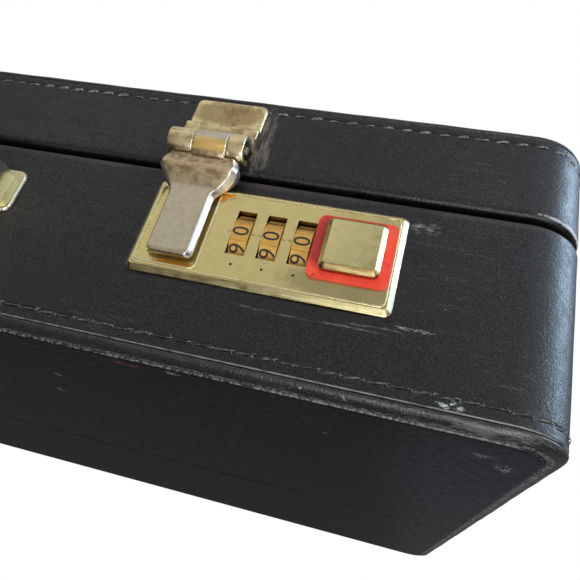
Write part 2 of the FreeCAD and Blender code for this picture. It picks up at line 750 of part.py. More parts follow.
def make_hasps():
    start = "hasp_x - hasp_width / 2"
    pin = rod("hasp_pin_right", "hasp_pin_radius", "hasp_width", start, HASP_Y, "hasp_axis_z")
    for name, piece in (("hasp_leaf", hasp_leaf()), ("hasp_strap", hasp_strap()), ("hasp_pin", pin)):
        keep(piece, f"right_{name}")
        keep(mirror(f"left_{name}", piece), f"left_{name}")


# ---------------------------------------------------------------- handle

PIVOT_Y = out("handle_out")
GRIP_Z = "handle_z - handle_drop"


def handle_bracket():
    """A flange on the leather with a rounded lug, bored from the inner side for the trunnion."""
    flange = box("bracket_flange", ("39", "61"), (out("1.4"), FACE), ("handle_z - 7.8", "handle_z + 7.8"))
    rounded = round_edges("bracket_flange_round", flange, "3", along_y)
    lug = box("bracket_lug", ("lug_inner", "lug_outer"), (PIVOT_Y, FACE), ("handle_z - 5.5", "handle_z + 5.5"))
    length = "lug_outer - lug_inner"
    crown = rod("bracket_crown", "5.5", length, "lug_inner", PIVOT_Y, "handle_z")
    hole = f"trunnion_radius + {LOOSE}"
    bore = rod("bracket_bore", hole, f"{length} - 1.2", "lug_inner", PIVOT_Y, "handle_z")
    return cut("bracket_right", fuse("bracket_solid", rounded, lug, crown), bore)


def end_fitting():
    """The brass cap on one end of the grip, with its ear and trunnion."""
    y = (f"{PIVOT_Y} - grip_depth / 2 - 0.4", f"{PIVOT_Y} + grip_depth / 2 + 0.4")
    z = (f"{GRIP_Z} - grip_height / 2 - 0.4", f"{GRIP_Z} + grip_height / 2 + 0.4")
    cap = box("fitting_cap", ("grip_length / 2", "ear_outer"), y, z)
    rounded = round_edges("fitting_cap_round", cap, "5", lambda m, d: abs(d.x) > 0.99)
    ear_y = (f"{PIVOT_Y} - 5", f"{PIVOT_Y} + 5")
    ear = box("fitting_ear", ("ear_inner", "ear_outer"), ear_y, (GRIP_Z, "handle_z"))
    crown = rod("fitting_crown", "5", "ear_outer - ear_inner", "ear_inner", PIVOT_Y, "handle_z")
    reach = "lug_outer - 2 - ear_outer"
    pin = rod("fitting_trunnion", "trunnion_radius", reach, "ear_outer", PIVOT_Y, "handle_z")
    solid = fuse("fitting_solid", rounded, ear, crown, pin)
    return cut("fitting_right", solid, core_bar("fitting_socket"))


def core_bar(name):
    """The flat steel bar inside the grip."""
    y = (f"{PIVOT_Y} - 1.5", f"{PIVOT_Y} + 1.5")
    return box(name, ("-grip_length / 2 - 4", "grip_length / 2 + 4"), y, (f"{GRIP_Z} - 5", f"{GRIP_Z} + 5"))


def grip():
    """The padded leather grip, a rounded bar between the end fittings."""
    body = doc.addObject("PartDesign::Body", "grip_body")
    place(body, "-grip_length / 2", PIVOT_Y, GRIP_Z, ALONG_X)
    sketch = new_sketch(body, "grip_section", "XY_Plane")
    rounded_rectangle(sketch, "grip", "grip_height", "grip_depth", "6")
    pad = body.newObject("PartDesign::Pad", "grip_pad")
    pad.Profile = sketch
    bind(pad, Length="grip_length")
    return cut("grip_hollow", body, core_bar("grip_slot"))


def make_handle():
    bracket, fitting = handle_bracket(), end_fitting()
    keep(group("bracket_pair", bracket, mirror("bracket_left", bracket)), "handle_brackets")
    keep(group("fitting_pair", fitting, mirror("fitting_left", fitting)), "handle_end_fittings")
    keep(grip(), "handle_grip")
    keep(core_bar("handle_core_bar"), "handle_core")


# ---------------------------------------------------------------- lid stays

WALL_BASE = "case_length / 2 - leather - frame_wall - base_cloth"
WALL_LID = "case_length / 2 - leather - frame_wall - lid_cloth"
STAY_A = (f"{HINGE_Y} - stay_base_back", "hinge_axis_height - stay_base_down")
STAY_B = (f"{HINGE_Y} - stay_lid_back", "hinge_axis_height + stay_lid_up")
STAY_M = (f"{STAY_A[0]} - stay_lid_back", f"{STAY_A[1]} + stay_lid_up")
LOWER_X, UPPER_X = "215.6", "213.8"


def link_blank(name, x, start, end):
    """A flat link with round ends between two pivots."""
    body = doc.addObject("PartDesign::Body", name)
    y, z = (number(end[k]) - number(start[k]) for k in (0, 1))
    place(body, x, start[0], start[1], Rotation(Vector(1, 0, 0), math.degrees(math.atan2(z, y))))
    sketch = new_sketch(body, name + "_sketch", "YZ_Plane")
    length, half = math.hypot(y, z), number("link_width / 2")
    up = Vector(0, 0, 1)
    sketch.addGeometry(Part.LineSegment(Vector(0, half, 0), Vector(length, half, 0)), False)
    sketch.addGeometry(Part.LineSegment(Vector(0, -half, 0), Vector(length, -half, 0)), False)
    near, far = Part.Circle(Vector(0, 0, 0), up, half), Part.Circle(Vector(length, 0, 0), up, half)
    sketch.addGeometry(Part.ArcOfCircle(near, math.pi / 2, 3 * math.pi / 2), False)
    sketch.addGeometry(Part.ArcOfCircle(far, -math.pi / 2, math.pi / 2), False)
    pad = body.newObject("PartDesign::Pad", name + "_pad")
    pad.Profile = sketch
    bind(pad, Length="link_sheet")
    return body


def lower_link():
    """The link on the base's pivot; it carries the rivet of the middle joint."""
    blank = link_blank("lower_link_blank", LOWER_X, STAY_A, STAY_M)
    eye = rod("lower_eye", f"stay_pin_radius + {LOOSE}", "4", f"{LOWER_X} - 1", *STAY_A)
    shank = rod("elbow_shank", "stay_pin_radius", "2.4", f"{LOWER_X} - 2.3", *STAY_M)
    head = rod("elbow_head", "3.2", "0.8", f"{LOWER_X} - 3", *STAY_M)
    return fuse("lower_link_right", cut("lower_link_eye", blank, eye), shank, head)


def upper_link():
    """The link on the lid's pivot; its lower eye turns loosely on the elbow rivet."""
    blank = link_blank("upper_link_blank", UPPER_X, STAY_B, STAY_M)
    eye = rod("upper_eye", f"stay_pin_radius + {LOOSE}", "4", f"{UPPER_X} - 1", *STAY_B)
    elbow = rod("upper_elbow", "stay_pin_radius + 0.35", "4", f"{UPPER_X} - 1", *STAY_M)
    return cut("upper_link_right", blank, eye, elbow)


def stay_bracket(half):
    """A plate on the lining with a spacer boss and the pivot's pin and head."""
    wall, pivot, link = (WALL_BASE, STAY_A, LOWER_X) if half == "base" else (WALL_LID, STAY_B, UPPER_X)
    name = f"{half}_stay"
    y, z = pivot
    plate = box(f"{name}_plate", (f"{wall} - 1.2", wall), (f"{y} - 9", f"{y} + 9"), (f"{z} - 5", f"{z} + 5"))
    boss_start = f"{link} + link_sheet + 0.25"
    boss = rod(f"{name}_boss", "3.8", f"{wall} - 1 - ({boss_start})", boss_start, y, z)
    pin = rod(f"{name}_pin", "stay_pin_radius", "link_sheet + 1", f"{link} - 0.3", y, z)
    head = rod(f"{name}_head", "3.2", "0.8", f"{link} - 0.95", y, z)
    return fuse(f"{name}_bracket", plate, boss, pin, head)


def make_stays():
    for half in ("base", "lid"):
        bracket = stay_bracket(half)
        pair = group(f"{half}_brackets", bracket, mirror(f"{half}_bracket_left", bracket))
        keep(pair, f"stay_{half}_brackets")
    for name, link in (("lower", lower_link()), ("upper", upper_link())):
        keep(link, f"right_stay_{name}_link")
        keep(mirror(f"{name}_link_left", link), f"left_stay_{name}_link")


# ---------------------------------------------------------------- rivets and pockets


def make_rivets():
    """Rivet heads on the base and on the lid, one node each."""
    heads = leaf_rivets("base", 1) + leaf_rivets("base", -1)
    for side in (-1, 1):
        for index, level in enumerate(("handle_z - 5.3", "handle_z + 5.3")):
            name = f"bracket_rivet_{side + 1}_{index}"
            heads.append(rod(name, "1.5", "0.8", f"{side} * 42.6", out("2.2"), level, ALONG_Y))
    keep(group("base_rivet_group", *heads), "base_rivets")
    keep(group("lid_rivet_group", *leaf_rivets("lid", 1), *leaf_rivets("lid", -1)), "lid_rivets")


CEILING = "case_height - leather - board - lid_cloth"


def make_pockets():
    """The file pocket in the lid, open towards the front, with a card pocket and pen loops on it."""
    half_l, half_d, depth = "pocket_length / 2", "pocket_depth / 2", "gusset_height"
    levels = (f"{CEILING} - {depth}", CEILING)
    gussets = []
    for side, low, high in (("left", f"-{half_l}", f"-{half_l} + gusset_width"),
                            ("right", f"{half_l} - gusset_width", half_l)):
        gussets.append(box(f"gusset_{side}", (low, high), (f"-{half_d}", f"{half_d} - gusset_width"), levels))
    gussets.append(box("gusset_foot", (f"-{half_l}", half_l), (f"{half_d} - gusset_width", half_d), levels))
    keep(group("gusset_group", *gussets), "file_pocket_gussets")
    sheet = f"{CEILING} - {depth} - 1.5"
    front = box("pocket_front", (f"-{half_l}", half_l), (f"-{half_d}", half_d), (sheet, f"{sheet} + 1.5"))
    keep(round_edges("pocket_front_round", front, "8", lambda m, d: abs(d.z) > 0.99), "file_pocket_front")
    card = box("card_blank", ("-165", "-45"), ("-60", "25"), (f"{sheet} - 1.2", sheet))
    keep(round_edges("card_round", card, "5", lambda m, d: abs(d.z) > 0.99), "card_pocket")
    loops = []
    for index in range(3):
        start = f"70 + {index} * 24"
        span = (start, f"{start} + pen_loop_width")
        arch = box(f"pen_arch_{index}", span, ("-50", "-22"), (f"{sheet} - 10", sheet))
        rounded = round_edges(f"pen_arch_round_{index}", arch, "5", pen_crown)
        hollow = box(
            f"pen_hollow_{index}",
            (f"{start} + 1.4", f"{start} + pen_loop_width - 1.4"),
            ("-51", "-21"),
            (f"{sheet} - 8.6", f"{sheet} + 1"),
        )
        softened = round_edges(f"pen_hollow_round_{index}", hollow, "4", pen_hollow_crown)
        loops.append(cut(f"pen_loop_{index}", rounded, softened))
    keep(group("pen_loop_group", *loops), "pen_loops")


def pen_crown(middle, direction):
    return abs(direction.y) > 0.99 and middle.z < number(f"{CEILING} - gusset_height - 11.4")


def pen_hollow_crown(middle, direction):
    return abs(direction.y) > 0.99 and middle.z < number(f"{CEILING} - gusset_height - 10")


# ---------------------------------------------------------------- build, check and write


def main():
    make_half("base", "base_cloth")
    make_half("lid", "lid_cloth")
    make_lip()
    make_hinges()
    make_feet()
    make_locks()
    make_hasps()
    make_handle()
    make_stays()
    make_rivets()
    make_pockets()
    doc.recompute()
    for thing in doc.Objects:
        if {"Invalid", "Error"} & set(thing.State):
            raise RuntimeError(f"{thing.Name} failed: {thing.State}")
    os.makedirs("parts", exist_ok=True)
    for thing in subparts:
        shape = thing.Shape
        if shape.isNull() or not shape.isValid() or not shape.Solids:
            raise RuntimeError(f"{thing.Label} has no valid solid")
        shape.exportStep(os.path.join("parts", thing.Label + ".step"))
    print(len(subparts), "sub-parts written")


main()
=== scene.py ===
"""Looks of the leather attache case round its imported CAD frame.

Lengths are millimetres until a mesh is made. The case lies flat on its base panel, the locks face -Y, and z
is up from the base to the lid. A level in the lid is given as a depth below the lid's panel.
"""

import json
import math
import random
from itertools import product

import bmesh
import bpy
import numpy as np
from mathutils import Matrix, Vector


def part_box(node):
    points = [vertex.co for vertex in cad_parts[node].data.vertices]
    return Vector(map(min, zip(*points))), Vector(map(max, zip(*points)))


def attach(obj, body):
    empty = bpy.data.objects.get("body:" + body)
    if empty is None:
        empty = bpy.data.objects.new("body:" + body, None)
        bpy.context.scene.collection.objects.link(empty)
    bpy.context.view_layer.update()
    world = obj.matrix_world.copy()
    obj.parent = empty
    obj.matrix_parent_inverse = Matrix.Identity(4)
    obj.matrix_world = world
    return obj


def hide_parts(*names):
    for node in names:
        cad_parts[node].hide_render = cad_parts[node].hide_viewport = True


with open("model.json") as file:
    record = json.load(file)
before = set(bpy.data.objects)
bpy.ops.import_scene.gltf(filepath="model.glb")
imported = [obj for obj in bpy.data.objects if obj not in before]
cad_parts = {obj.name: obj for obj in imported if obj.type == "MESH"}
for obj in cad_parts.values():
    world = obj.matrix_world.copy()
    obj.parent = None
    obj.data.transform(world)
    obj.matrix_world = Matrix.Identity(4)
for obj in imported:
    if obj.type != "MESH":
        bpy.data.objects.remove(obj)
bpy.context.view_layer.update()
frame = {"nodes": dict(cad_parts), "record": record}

MM = 0.001
LENGTH, DEPTH, HEIGHT = 457.0, 330.0, 95.0
RADIUS = 17.0  # of the upright corners
FRONT = -DEPTH / 2
BASE_RIM, LID_RIM = 61.0, 31.7  # from each half's panel
SEAM = 3.3  # where the welt meets the side leather
HIDE, WALL, FLOOR = 1.5, 7.5, 5.5  # leather; leather and wood of a wall; leather and wood of a panel
FLAT = -16.4  # where a panel's flat middle starts, from the outline inwards
STITCH_PITCH = 5.67
LOCK_X, LOCK_Z = 142.15, 40.1
WINDOWS = (-7.4, 1.47, 10.34)  # the three dials, outwards from the lock's middle
DIAL_AXIS_Y, DIAL_AXIS_Z = FRONT + 5.7, 41.15
DIAL_FACE = 8.5  # from a dial's axis to a numeral face
PLATE_OUT = 1.8  # lock plate's face in front of the leather
PLATE_Y = FRONT - PLATE_OUT
HANDLE_OUT, HANDLE_Z, GRIP_Z = 8.5, 43.0, 12.0  # the handle's axis, and its grip when it hangs down
BRACKET_X, HINGE_X, FOOT_X = 50.0, 140.0, 195.0
POCKET, CARD_POCKET = (380.0, 235.0, 8.0), (120.0, 85.0, 5.0)  # length, depth and corner radius
HASP_X, HASP_WIDTH = 117.2, 24.2
PIN_OUT, PIN_Z, BARREL = 5.5, 67.3, 4.5  # the hasp pin's place, and the barrel's outer radius
SPLIT_LOW, SPLIT_HIGH = -3.9, 6.9  # the strap's share of the barrel
CREASE = 57.3  # height of the strap's bend
SIDES = ((-1, "left"), (1, "right"))


# ---- mesh tools


def make_object(name, points, faces, smooth=True):
    """A mesh object from points in millimetres."""
    mesh = bpy.data.meshes.new(name)
    mesh.from_pydata((np.asarray(points, float).reshape(-1, 3) * MM).tolist(), [], faces)
    bm = bmesh.new()
    bm.from_mesh(mesh)
    bmesh.ops.remove_doubles(bm, verts=bm.verts, dist=1e-6)
    bmesh.ops.recalc_face_normals(bm, faces=bm.faces)
    bm.to_mesh(mesh)
    bm.free()
    mesh.polygons.foreach_set("use_smooth", [smooth] * len(mesh.polygons))
    thing = bpy.data.objects.new(name, mesh)
    bpy.context.scene.collection.objects.link(thing)
    return thing


def piece(name, points, faces, body, material, slot=None, stands_for=(), smooth=True):
    """A finished piece: its mesh, material, body and the CAD nodes it stands for. The slot argument is not
    used.
    """
    thing = make_object(name, points, faces, smooth)
    thing.data.materials.append(material)
    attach(thing, body)
    if stands_for:
        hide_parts(*stands_for)
    return thing


def join_parts(parts):
    """Several (points, faces) as one."""
    points, faces, start = [], [], 0
    for part_points, part_faces in parts:
        flat = np.asarray(part_points, float).reshape(-1, 3)
        points.append(flat)
        faces += [[start + k for k in face] for face in part_faces]
        start += len(flat)
    return np.concatenate(points), faces


def grid_faces(rows, columns, wrap_rows, wrap_columns):
    """Quads of a grid of points, which may join up with itself either way."""
    faces = []
    for i in range(rows if wrap_rows else rows - 1):
        for j in range(columns if wrap_columns else columns - 1):
            i2, j2 = (i + 1) % rows, (j + 1) % columns
            faces.append([i * columns + j, i2 * columns + j, i2 * columns + j2, i * columns + j2])
    return faces


def tube_faces(rows, columns):
    """Faces of a tube: each row of the grid is a closed ring, and both ends are closed."""
    faces = grid_faces(rows, columns, False, True)
    return faces + [list(range(columns)), [(rows - 1) * columns + k for k in range(columns)]]


def bowl_faces(rows, columns):
    """Faces of a closed form: each column of the grid is a ring, and the first and last ones are closed."""
    faces = grid_faces(rows, columns, True, False)
    return faces + [[i * columns + end for i in range(rows)] for end in (0, columns - 1)]


def arc(cx, cy, rx, ry, start, end, count):
    """Points of an elliptical arc, angles in degrees."""
    turns = np.radians(np.linspace(start, end, count))
    return [(cx + rx * math.cos(t), cy + ry * math.sin(t)) for t in turns]


def rounded_outline(length, depth, radius, step):
    """(points, outward normals, distance along) round a rounded rectangle, from its first corner on."""
    half_l, half_d = length / 2 - radius, depth / 2 - radius
    corners = np.array([(half_l, half_d), (-half_l, half_d), (-half_l, -half_d), (half_l, -half_d)])
    points, normals = [], []
    for quarter, corner in enumerate(corners):
        count = max(4, round(radius * math.pi / 2 / step))
        for k in range(count + 1):
            turn = (quarter + k / count) * math.pi / 2
            normal = np.array([math.cos(turn), math.sin(turn)])
            points.append(corner + radius * normal)
            normals.append(normal)
        begin = points[-1]
        way = corners[(quarter + 1) % 4] + radius * normal - begin
        count = max(1, round(np.linalg.norm(way) / step))
        points += [begin + way * k / count for k in range(1, count)]
        normals += [normal] * (count - 1)
    points, normals = np.array(points), np.array(normals)
    gaps = np.linalg.norm(np.roll(points, -1, 0) - points, axis=1)
    return points, normals, np.concatenate([[0], np.cumsum(gaps)])


CASE_FINE = rounded_outline(LENGTH, DEPTH, RADIUS, 1.3)
CASE_COARSE = rounded_outline(LENGTH, DEPTH, RADIUS, 3.0)


def sweep(outline, profile, closed=True, shape=None):
    """Carries a profile of (out, z) round an outline. shape(s, out, z) may move the points outwards."""
    points, normals, along = outline
    out, z = np.array(profile, float).T
    out = np.broadcast_to(out, (len(points), len(out))).copy()
    z = np.broadcast_to(z, out.shape)
    if shape is not None:
        out = out + shape(along[:-1, None], out, z)
    xy = points[:, None, :] + normals[:, None, :] * out[..., None]
    grid = np.concatenate([xy, z[..., None]], axis=2)
    return grid, grid_faces(grid.shape[0], grid.shape[1], True, closed)


def capped(grid):
    """Fills the first and last rings of an open sweep with rings that shrink to the middle."""
    shares = (0.97, 0.9, 0.8, 0.65, 0.5, 0.35, 0.2, 0.08, 0.01)

    def shrunk(ring, share):
        middle = ring.mean(0)
        return middle + (ring - middle) * (share, share, 1.0)

    first = [shrunk(grid[:, 0], share) for share in reversed(shares)]
    last = [shrunk(grid[:, -1], share) for share in shares]
    grid = np.concatenate([np.stack(first, 1), grid, np.stack(last, 1)], axis=1)
    return grid, bowl_faces(*grid.shape[:2])


def half_piece(half, name, grid, faces, material, slot, node):
    """A piece of the base or the lid, whose levels are measured from that half's own panel."""
    if half == "lid":
        grid = np.concatenate([grid[..., :2], HEIGHT - grid[..., 2:]], axis=2)
    return piece(f"{half}_{name}", grid, faces, half, material, slot, [f"{half}_{node}"])


def lathe(profile, centre, axis, segments=40):
    """Turns a profile of (radius, height) about an axis through centre."""
    axis = Vector(axis).normalized()
    side = axis.orthogonal().normalized()
    other = axis.cross(side)
    points = []
    for k in range(segments):
        turn = 2 * math.pi * k / segments
        radial = side * math.cos(turn) + other * math.sin(turn)
        points += [tuple(Vector(centre) + radial * r + axis * h) for r, h in profile]
    return points, bowl_faces(segments, len(profile))


def box_part(low, high):
    """A box between two corners."""
    quads = [[0, 1, 3, 2], [4, 6, 7, 5], [0, 4, 5, 1], [2, 3, 7, 6], [0, 2, 6, 4], [1, 5, 7, 3]]
    return list(product(*zip(low, high))), quads


def cut_boxes(thing, boxes):
    """Cuts boxes, given by their low and high corners, out of an object's mesh."""
    cutter = make_object("cutter", *join_parts([box_part(*box) for box in boxes]), smooth=False)
    modifier = thing.modifiers.new("cut", "BOOLEAN")
    modifier.object = cutter
    modifier.operation = "DIFFERENCE"
    modifier.solver = "EXACT"
    graph = bpy.context.evaluated_depsgraph_get()
    mesh = bpy.data.meshes.new_from_object(thing.evaluated_get(graph))
    thing.modifiers.clear()
    thing.data = mesh
    bpy.data.objects.remove(cutter)


# ---- material tools


class Nodes:
    """A shader tree being built from nodes."""

    def __init__(self, tree):
        self.tree = tree

    def node(self, kind, values=(), **props):
        """A shader node of a kind, with its inputs set or linked, and its properties set."""
        made = self.tree.nodes.new("ShaderNode" + kind)
        for name, value in props.items():
            setattr(made, name, value)
        for socket, value in dict(values).items():
            self.put(made.inputs[socket], value)
        return made

    def put(self, socket, value):
        """Links or sets one input."""
        if isinstance(value, bpy.types.NodeSocket):
            self.tree.links.new(value, socket)
        else:
            if socket.type == "RGBA" and len(value) == 3:
                value = (*value, 1.0)
            socket.default_value = value


class Paint(Nodes):
    """A material being built from nodes; positions are the piece's own, in metres."""

    def __init__(self, name):
        self.material = bpy.data.materials.new(name)
        self.material.use_nodes = True
        super().__init__(self.material.node_tree)
        self.shader = self.tree.nodes["Principled BSDF"]
        self.place = self.node("TexCoord").outputs["Object"]
        self.height = None
        self.colour = None

    def set(self, **values):
        """Sets the shader's inputs."""
        for name, value in values.items():
            self.put(self.shader.inputs[name.replace("_", " ")], value)

    def stretch(self, x, y, z, turn=(0, 0, 0)):
        """The piece's own positions, scaled and turned."""
        values = {"Vector": self.place, "Scale": (x, y, z), "Rotation": turn}
        return self.node("Mapping", values).outputs[0]

    def noise(self, scale, detail=3.0, rough=0.55, where=None):
        """Noise from 0 to 1; scale is in cycles a metre, unless where is already stretched."""
        values = {"Vector": where or self.place, "Scale": scale, "Detail": detail, "Roughness": rough}
        return self.node("TexNoise", values).outputs["Fac"]

    def cells(self, scale):
        """Distance to the nearest of many scattered points."""
        return self.node("TexVoronoi", {"Vector": self.place, "Scale": scale}).outputs["Distance"]

    def range(self, value, low, high, to_low=0.0, to_high=1.0):
        """Maps low to high onto a new range, with a soft start and end."""
        values = {"Value": value, "From Min": low, "From Max": high, "To Min": to_low, "To Max": to_high}
        return self.node("MapRange", values, interpolation_type="SMOOTHSTEP").outputs["Result"]

    def mottle(self, noise, *span):
        """Soft patches: noise of a scale, detail and roughness, mapped by range."""
        return self.range(self.noise(*noise), *span)

    def math(self, operation, *terms):
        return self.node("Math", dict(enumerate(terms)), operation=operation).outputs[0]

    def times(self, first, second):
        return self.math("MULTIPLY", first, second)

    def plus(self, first, second):
        return self.math("ADD", first, second)

    def absolute(self, value):
        return self.math("ABSOLUTE", value)

    def mix(self, share, first, second):
        return self.node("Mix", {0: share, 6: first, 7: second}, data_type="RGBA").outputs[2]

    def coat(self, share, tint, strength=None):
        """Lays a colour over the material's colour, where share is more than 0."""
        if strength is not None:
            share = self.times(share, strength)
        self.colour = self.mix(share, self.colour, tint)

    def axis(self, name):
        return self.node("SeparateXYZ", {0: self.place}).outputs[name]

    def tilt(self, name):
        """How far the surface leans towards one of the piece's own axes, from 0 to 1."""
        normal = self.node("TexCoord").outputs["Normal"]
        return self.absolute(self.node("SeparateXYZ", {0: normal}).outputs[name])

    def scuff(self, point, size, ragged=0.6, strokes=None):
        """1 inside a ragged ellipsoid of a size in millimetres, which strokes can break up."""
        values = {0: self.place, 1: [v * MM for v in point]}
        shift = self.node("VectorMath", values, operation="SUBTRACT").outputs[0]
        scale = [1.0 / (v * MM) for v in size]
        scaled = self.node("Mapping", {"Vector": shift, "Scale": scale}).outputs[0]
        gap = self.node("VectorMath", {0: scaled}, operation="LENGTH").outputs["Value"]
        gap = self.plus(gap, self.times(self.noise(700, 5, 0.7), ragged * 2))
        inside = self.range(gap, 1.0 + ragged, 0.6 + ragged)
        if strokes is None:
            return inside
        scale, crisp = strokes
        return self.times(inside, self.range(self.noise(1.0, 5, 0.7, self.stretch(*scale)), *crisp))

    def line(self, level, width, noise_scale, low, high):
        """A line at one height, broken up by noise: worn lines, and painted sheen or highlights on the base's
        rim and the strap's bend.
        """
        gap = self.absolute(self.math("SUBTRACT", self.axis("Z"), level * MM))
        band = self.range(gap, width * MM, width * MM * 0.3)
        return self.times(band, self.mottle((noise_scale, 4), low, high))

    def inside(self, box):
        """1 inside a box of (low, high) millimetres for |x|, y and z."""
        share, blur = 1.0, 0.1
        for place, (low, high) in zip((self.absolute(self.axis("X")), self.axis("Y"), self.axis("Z")), box):
            share = self.times(share, self.range(place, low * MM, (low + blur) * MM))
            share = self.times(share, self.range(place, high * MM, (high - blur) * MM))
        return share

    def bump(self, height, strength, distance):
        """Adds relief, a distance in millimetres deep, to the material's own."""
        values = {"Height": height, "Strength": strength, "Distance": distance * MM}
        if self.height is not None:
            values["Normal"] = self.height
        self.height = self.node("Bump", values).outputs["Normal"]
        self.put(self.shader.inputs["Normal"], self.height)


def scratches(paint, scale, turn, threshold=0.6, patch=(0.48, 0.6)):
    """Thin straight scratches, in patches."""
    lines = paint.noise(1.0, 1.0, 0.5, paint.stretch(*scale, turn=turn))
    thin = paint.range(paint.absolute(paint.math("SUBTRACT", lines, threshold)), 0.006, 0.001)
    return paint.times(thin, paint.mottle((24, 2), *patch))


WALL_SCRATCHES = [((24, 24, 900), (0.0, 0.25, 0.0)), ((30, 30, 700), (0.0, -0.8, 0.0))]
PANEL_SCRATCHES = [((18, 900, 1), (0.0, 0.0, 0.5)), ((24, 700, 1), (0.0, 0.0, -0.7))]


def leather(name, dark, light, rough=0.42, wear_and_sheen_lines=(), scuffs_and_sheen_spots=(), grain=1.0, lines=WALL_SCRATCHES, dusty=0.55):
    """Smooth black leather with pores, dust, scratches, worn lines and scuffs; painted sparkle for glints off
    the grain, and painted sheen or highlights among its lines and patches.
    """
    paint = Paint(name)
    grit = paint.noise(2300, 3, 0.7)
    paint.colour = paint.mix(paint.range(grit, 0.35, 0.7), dark, light)
    long_marks = scratches(paint, *lines[0], 0.635, (0.50, 0.62))
    mark = paint.math("MAXIMUM", long_marks, scratches(paint, *lines[1], 0.600, (0.54, 0.66)))
    paint.coat(mark, (0.20, 0.20, 0.205), 0.36)
    # Lines at one height: worn lines, and a painted sheen on the base's rim.
    for *band, tint in wear_and_sheen_lines:
        paint.coat(paint.line(*band), tint)
    # Patches: scuffs, smears and dust, and painted sheen or highlights on the lid's corner roll, the panel
    # and the bead.
    for point, size, tint, strokes in scuffs_and_sheen_spots:
        paint.coat(paint.scuff(point, size, 0.6, strokes), tint)
    # Painted sparkle: pale specks that stand in for glints off the grain.
    painted_sparkle = paint.range(paint.cells(1250), 0.26, 0.12)
    painted_sparkle = paint.times(painted_sparkle, paint.mottle((900, 2), 0.48, 0.62))
    paint.coat(painted_sparkle, (0.15, 0.155, 0.165), 0.35 * grain)
    for cell, low, high in ((260, 0.050, 0.022), (620, 0.075, 0.035)):
        dust = paint.range(paint.cells(cell), low, high)
        dust = paint.times(dust, paint.mottle((cell * 0.5, 2), 0.53, 0.58))
        paint.coat(dust, (0.30, 0.30, 0.31), dusty)
    roughness = paint.mottle((330, 5, 0.7), 0.3, 0.75, rough - 0.08, rough + 0.12)
    roughness = paint.plus(roughness, paint.times(mark, 0.12))
    gloss = paint.range(grit, 0.36, 0.64, 0.5 - 0.13 * grain, 0.5 + 0.16 * grain)
    paint.set(Base_Color=paint.colour, Roughness=roughness, Specular_IOR_Level=gloss)
    paint.bump(paint.noise(120, 3), 0.16, 0.22 * grain)
    pores = paint.times(paint.cells(1500), paint.mottle((300, 2), 0.3, 0.7, 0.4, 1.0))
    paint.bump(pores, 0.60, 0.15 * grain)
    paint.bump(paint.noise(1900, 3, 0.7), 0.60, 0.09 * grain)
    paint.bump(mark, 0.4, 0.06)
    return paint.material


def metal(
    name, base, tarnish, rough=0.26, amount=(0.55, 0.75), brushed=(900, 60, 60), zones=(), pits=0.3, edge=0.3,
    blotch=0.75, edge_wear_and_highlight=None, ledge_tint=None, recess_shade=None, metallic=1.0
):
    """Plated or polished metal with tarnish, brushing, pits, softened edges and darker or paler zones, some
    of them painted reflections; paler edges that are both rubbed wear and painted highlight, a streaked tint
    on faces that lean up or down, and painted shade inside a box.
    """
    paint = Paint(name)
    paint.height = paint.node("Bevel", {"Radius": edge * MM}, samples=6).outputs["Normal"]
    blot = paint.mottle((170, 7, 0.7), *amount)
    paint.colour = paint.mix(paint.times(blot, blotch), base, tarnish)
    roughness = paint.mottle((240, 5), 0.3, 0.8, rough - 0.06, rough + 0.14)
    # Zones: tarnish and darker patches, and on the lock plates painted reflections beside the strap's tongue.
    for point, size, tint, share in zones:
        zone = paint.times(paint.scuff(point, size, 0.35), share)
        paint.coat(zone, tint)
        roughness = paint.plus(roughness, paint.times(zone, 0.15))
    # Paler faces leaning towards x or z: rubbed edges, and painted highlights where the sides catch the
    # light.
    if edge_wear_and_highlight:
        rim = paint.range(paint.math("MAXIMUM", paint.tilt("X"), paint.tilt("Z")), 0.35, 0.75)
        paint.coat(rim, edge_wear_and_highlight, 0.75)
    # Painted shade: near-black inside the box, for the shadow in the recess.
    if recess_shade:
        paint.coat(paint.inside(recess_shade), (0.02, 0.014, 0.008), 0.93)
    # A streaked tint on faces that lean up or down.
    if ledge_tint:
        ledge = paint.range(paint.tilt("Z"), 0.35, 0.60)
        streaks = paint.noise(1.0, 5, 0.7, paint.stretch(70, 900, 900))
        paint.coat(paint.times(ledge, paint.range(streaks, 0.30, 0.60, 0.55, 1.0)), ledge_tint)
    pit = paint.range(paint.cells(750), 0.16, 0.07)
    pit = paint.times(pit, paint.mottle((150, 3), 0.56, 0.64))
    paint.coat(pit, tuple(v * 0.25 for v in tarnish), pits * 2)
    line = scratches(paint, (60, 60, 1300), (0.1, 0.5, 0.2))
    roughness = paint.plus(roughness, paint.times(line, 0.25))
    paint.set(Base_Color=paint.colour, Metallic=metallic, Roughness=roughness)
    paint.bump(paint.noise(1.0, 2, 0.5, paint.stretch(*brushed)), 0.06, 0.05)
    paint.bump(pit, -pits, 0.15)
    paint.bump(paint.noise(160, 4), 0.06, 0.12)
    return paint.material


def cloth(name, dark, light):
    """Brushed lining cloth with a fine weave."""
    paint = Paint(name)
    pitch = 0.7 * MM
    fine = 1.0 / pitch
    warp = paint.noise(1.0, 1, 0.5, paint.stretch(fine, fine / 5, fine / 5))
    weave = paint.plus(warp, paint.noise(1.0, 1, 0.5, paint.stretch(fine / 5, fine, fine)))
    tone = paint.range(weave, 0.7, 1.3, 0.0, 0.6)
    tone = paint.plus(tone, paint.mottle((30, 4), 0.3, 0.7, 0.0, 0.4))
    paint.set(Base_Color=paint.mix(tone, dark, light), Roughness=paint.range(weave, 0.7, 1.3, 0.85, 0.98))
    paint.set(Sheen_Weight=0.4, Sheen_Roughness=0.5)
    paint.bump(weave, 0.5, 0.2)
    paint.bump(paint.noise(60, 3), 0.3, 0.5)
    return paint.material


